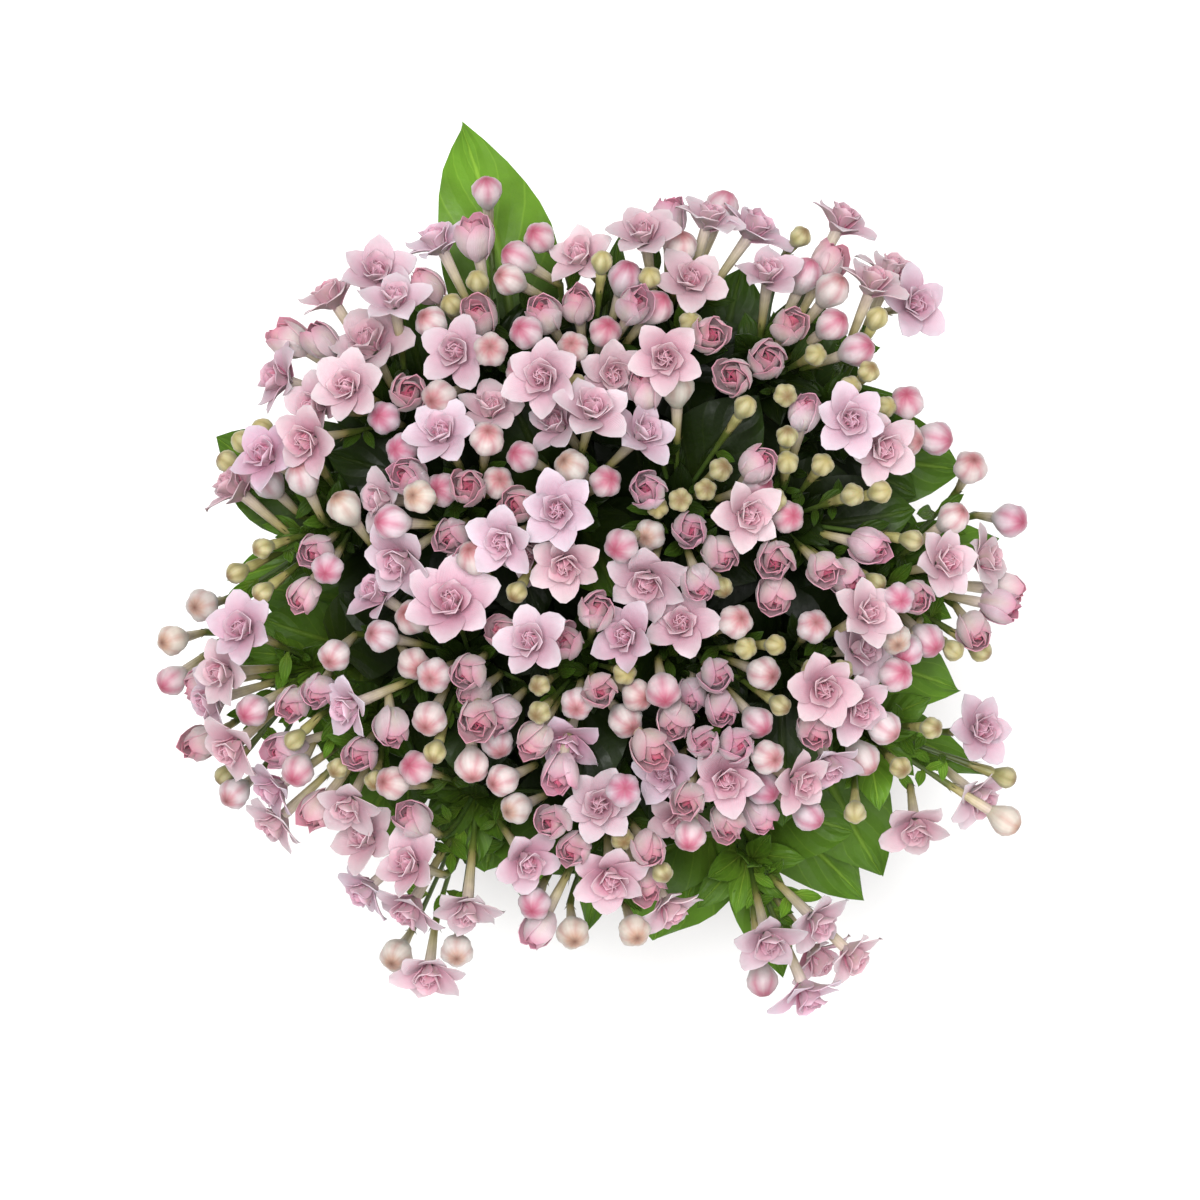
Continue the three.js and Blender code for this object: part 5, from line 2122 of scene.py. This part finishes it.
@dataclass
class Soil:
    """The filled inside of the pot: a crumbly, slightly crowned top over a plain body."""

    plan: Plan
    pot: Pot
    finishes: Finishes
    crumb: Shape = field(default_factory=lambda: Bench.ball(7, 5))
    crumbs: int = 420
    earth: Colour = (58, 42, 31)
    gap: float = 0.3
    rings: int = 14
    sides: int = 56
    sunk: float = 0.6
    rim: float = 3

    def build(self) -> None:
        """Builds the body, roughens its top, strews crumbs over it and closes its underside."""
        heap = Heap("potting_soil")
        edge = self.pot.inner(self.plan.soil_top) - self.gap
        radii = [self.pot.inner(self.pot.floor) - self.gap,
                 *(edge * (1 - k / self.rings) for k in range(self.rings))]
        sleeve = Bench.sleeve(self.sides, self.rings)
        x, y, z = sleeve.points.T
        ring = np.rint(z * self.rings).astype(int)
        radius = np.array(radii)[ring]
        px, py = x * radius, y * radius
        tops = self.plan.soil_top + self.plan.soil_rise * (1 - np.minimum(radius / edge, 1))
        tops = tops + self.bumps(px, py) * np.where(radius < edge - 1, 1, 0.3) - self.sunk
        height = np.where(ring == 0, self.pot.floor + self.gap, tops)
        points = np.stack([px, py, height], axis=1)
        heap.add(sleeve, points, np.tile(linear(self.earth), (len(points), 1)), np.stack([x, y], axis=1))
        random = SeededRandom(611)
        for _ in range(self.crumbs):
            self.strew(heap, random, edge)
        piece = heap.build([self.finishes.soil], 60)
        Bench.pick_out(piece)
        bpy.ops.object.mode_set(mode="EDIT")
        bpy.ops.mesh.select_all(action="DESELECT")
        bpy.ops.mesh.select_non_manifold(extend=False, use_wire=False, use_multi_face=False,
                                         use_non_contiguous=False, use_verts=False)
        bpy.ops.mesh.edge_face_add()
        bpy.ops.object.mode_set(mode="OBJECT")
        mount(piece, "soil", "soil")

    @staticmethod
    def bumps(x: np.ndarray, y: np.ndarray) -> np.ndarray:
        """The roughness of the top.

        Args:
            x: How far along +X some places are.
            y: How far along +Y.

        Returns:
            A height at each, in millimetres.
        """
        slow = np.sin(x * 0.21 + 1.3) * np.cos(y * 0.17 - 0.4) + 0.6 * np.sin(0.33 * y + 0.12 * x)
        fast = np.sin(x * 1.1 + 2 * np.sin(y * 0.7)) * np.sin(y * 1.3 + np.sin(x * 0.9))
        return 0.7 * slow + 0.55 * fast

    def strew(self, heap: Heap, random: SeededRandom, edge: float) -> None:
        """Adds one crumb, half sunk in the top.

        Args:
            heap: The soil's heap.
            random: The soil's run of numbers.
            edge: The radius of the top.
        """
        away, angle = (edge - self.rim) * math.sqrt(random.draw()), TURN * random.draw()
        size = random.between(0.6, 2.1) ** 1.2
        x, y = away * math.cos(angle), away * math.sin(angle)
        z = self.plan.soil_top + self.plan.soil_rise * (1 - away / edge) - self.sunk
        z += float(self.bumps(np.array(x), np.array(y)))
        stretch = np.array([random.between(0.7, 1.3) for _ in range(3)]) * size
        shape = self.crumb.points
        knobs = 1 + 0.22 * np.sin(5 * shape[:, :1] + 9 * shape[:, 1:2] + angle)
        points = shape * knobs * stretch + np.array([x, y, z])
        tone = linear(self.earth) * random.between(0.6, 1.8)
        heap.add(self.crumb, points, np.tile(tone, (len(points), 1)), shape[:, :2])


@dataclass(frozen=True)
class Lamp:
    """A square soft light: its name, its place and size in metres, and its power in watts."""

    name: str
    place: tuple[float, float, float]
    size: float
    watts: float


@dataclass
class Studio:
    """The pale floor, the soft lights and the camera that looks straight down."""

    view: View
    finishes: Finishes
    floor_radius: float = 3.0
    sensor: float = 36
    lamps: tuple[Lamp, ...] = (
        Lamp("key_light", (-0.12, 0.2, 2.2), 1.0, 66),
        Lamp("side_light", (1.2, -1.3, 1.1), 1.3, 16),
    )
    aim: tuple[float, float, float] = (0, 0, 0.25)
    sky: float = 0.5

    def build(self) -> None:
        """Sets everything up."""
        self.floor()
        self.camera()
        self.lights()

    def floor(self) -> None:
        """Lays the floor, a wide flat disc under the pot."""
        Bench.clear_selection()
        bpy.ops.mesh.primitive_circle_add(vertices=96, radius=self.floor_radius, fill_type="NGON")
        floor = bpy.context.object
        floor.name = "studio_floor"
        floor.data.materials.append(self.finishes.floor)

    def camera(self) -> None:
        """Hangs the camera over the crown with the top of its picture towards +Y."""
        data = bpy.data.cameras.new("camera")
        data.sensor_width = self.sensor
        width = self.view.scale * 2 * self.view.middle
        data.lens = data.sensor_width * self.view.distance / width
        data.clip_start, data.clip_end = 0.01, 50
        camera = bpy.data.objects.new("camera", data)
        height = (self.view.level + self.view.distance) * MILLIMETRE
        camera.location = (0, self.view.middle_y * MILLIMETRE, height)
        bpy.context.scene.collection.objects.link(camera)
        bpy.context.scene.camera = camera

    def lights(self) -> None:
        """Hangs one broad soft light high above, a weaker one to the side, and a pale sky."""
        for lamp in self.lamps:
            self.hang(lamp)
        world = bpy.data.worlds.new("pale_room")
        world.use_nodes = True
        background = world.node_tree.nodes["Background"]
        background.inputs["Color"].default_value = (1, 1, 1, 1)
        background.inputs["Strength"].default_value = self.sky
        bpy.context.scene.world = world
        bpy.context.scene.view_settings.view_transform = "Standard"

    def hang(self, lamp: Lamp) -> None:
        """Hangs a light so that it faces the crown.

        Args:
            lamp: The light.
        """
        data = bpy.data.lights.new(lamp.name, "AREA")
        data.size, data.energy = lamp.size, lamp.watts
        light = bpy.data.objects.new(lamp.name, data)
        bpy.context.scene.collection.objects.link(light)
        light.location = lamp.place
        way = Vector(self.aim) - Vector(lamp.place)
        light.rotation_euler = way.to_track_quat("-Z", "Y").to_euler()


def main() -> None:
    """Builds the plant, its pot and the studio, and reports each piece."""
    logging.basicConfig(level=logging.INFO, format="%(relativeCreated)6d %(name)s: %(message)s")
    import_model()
    plan = Plan()
    plan.lay_out()
    LOG.info("%d flowers, %d leaves", sum(len(s.flowers) for s in plan.shoots),
             sum(len(s.leaves) for s in plan.shoots))
    finishes = Finishes()
    pot = Pot(finishes)
    Studio(plan.view, finishes).build()
    pot.build()
    Soil(plan, pot, finishes).build()
    Plant(plan, finishes).build()


if __name__ == "__main__":
    main()
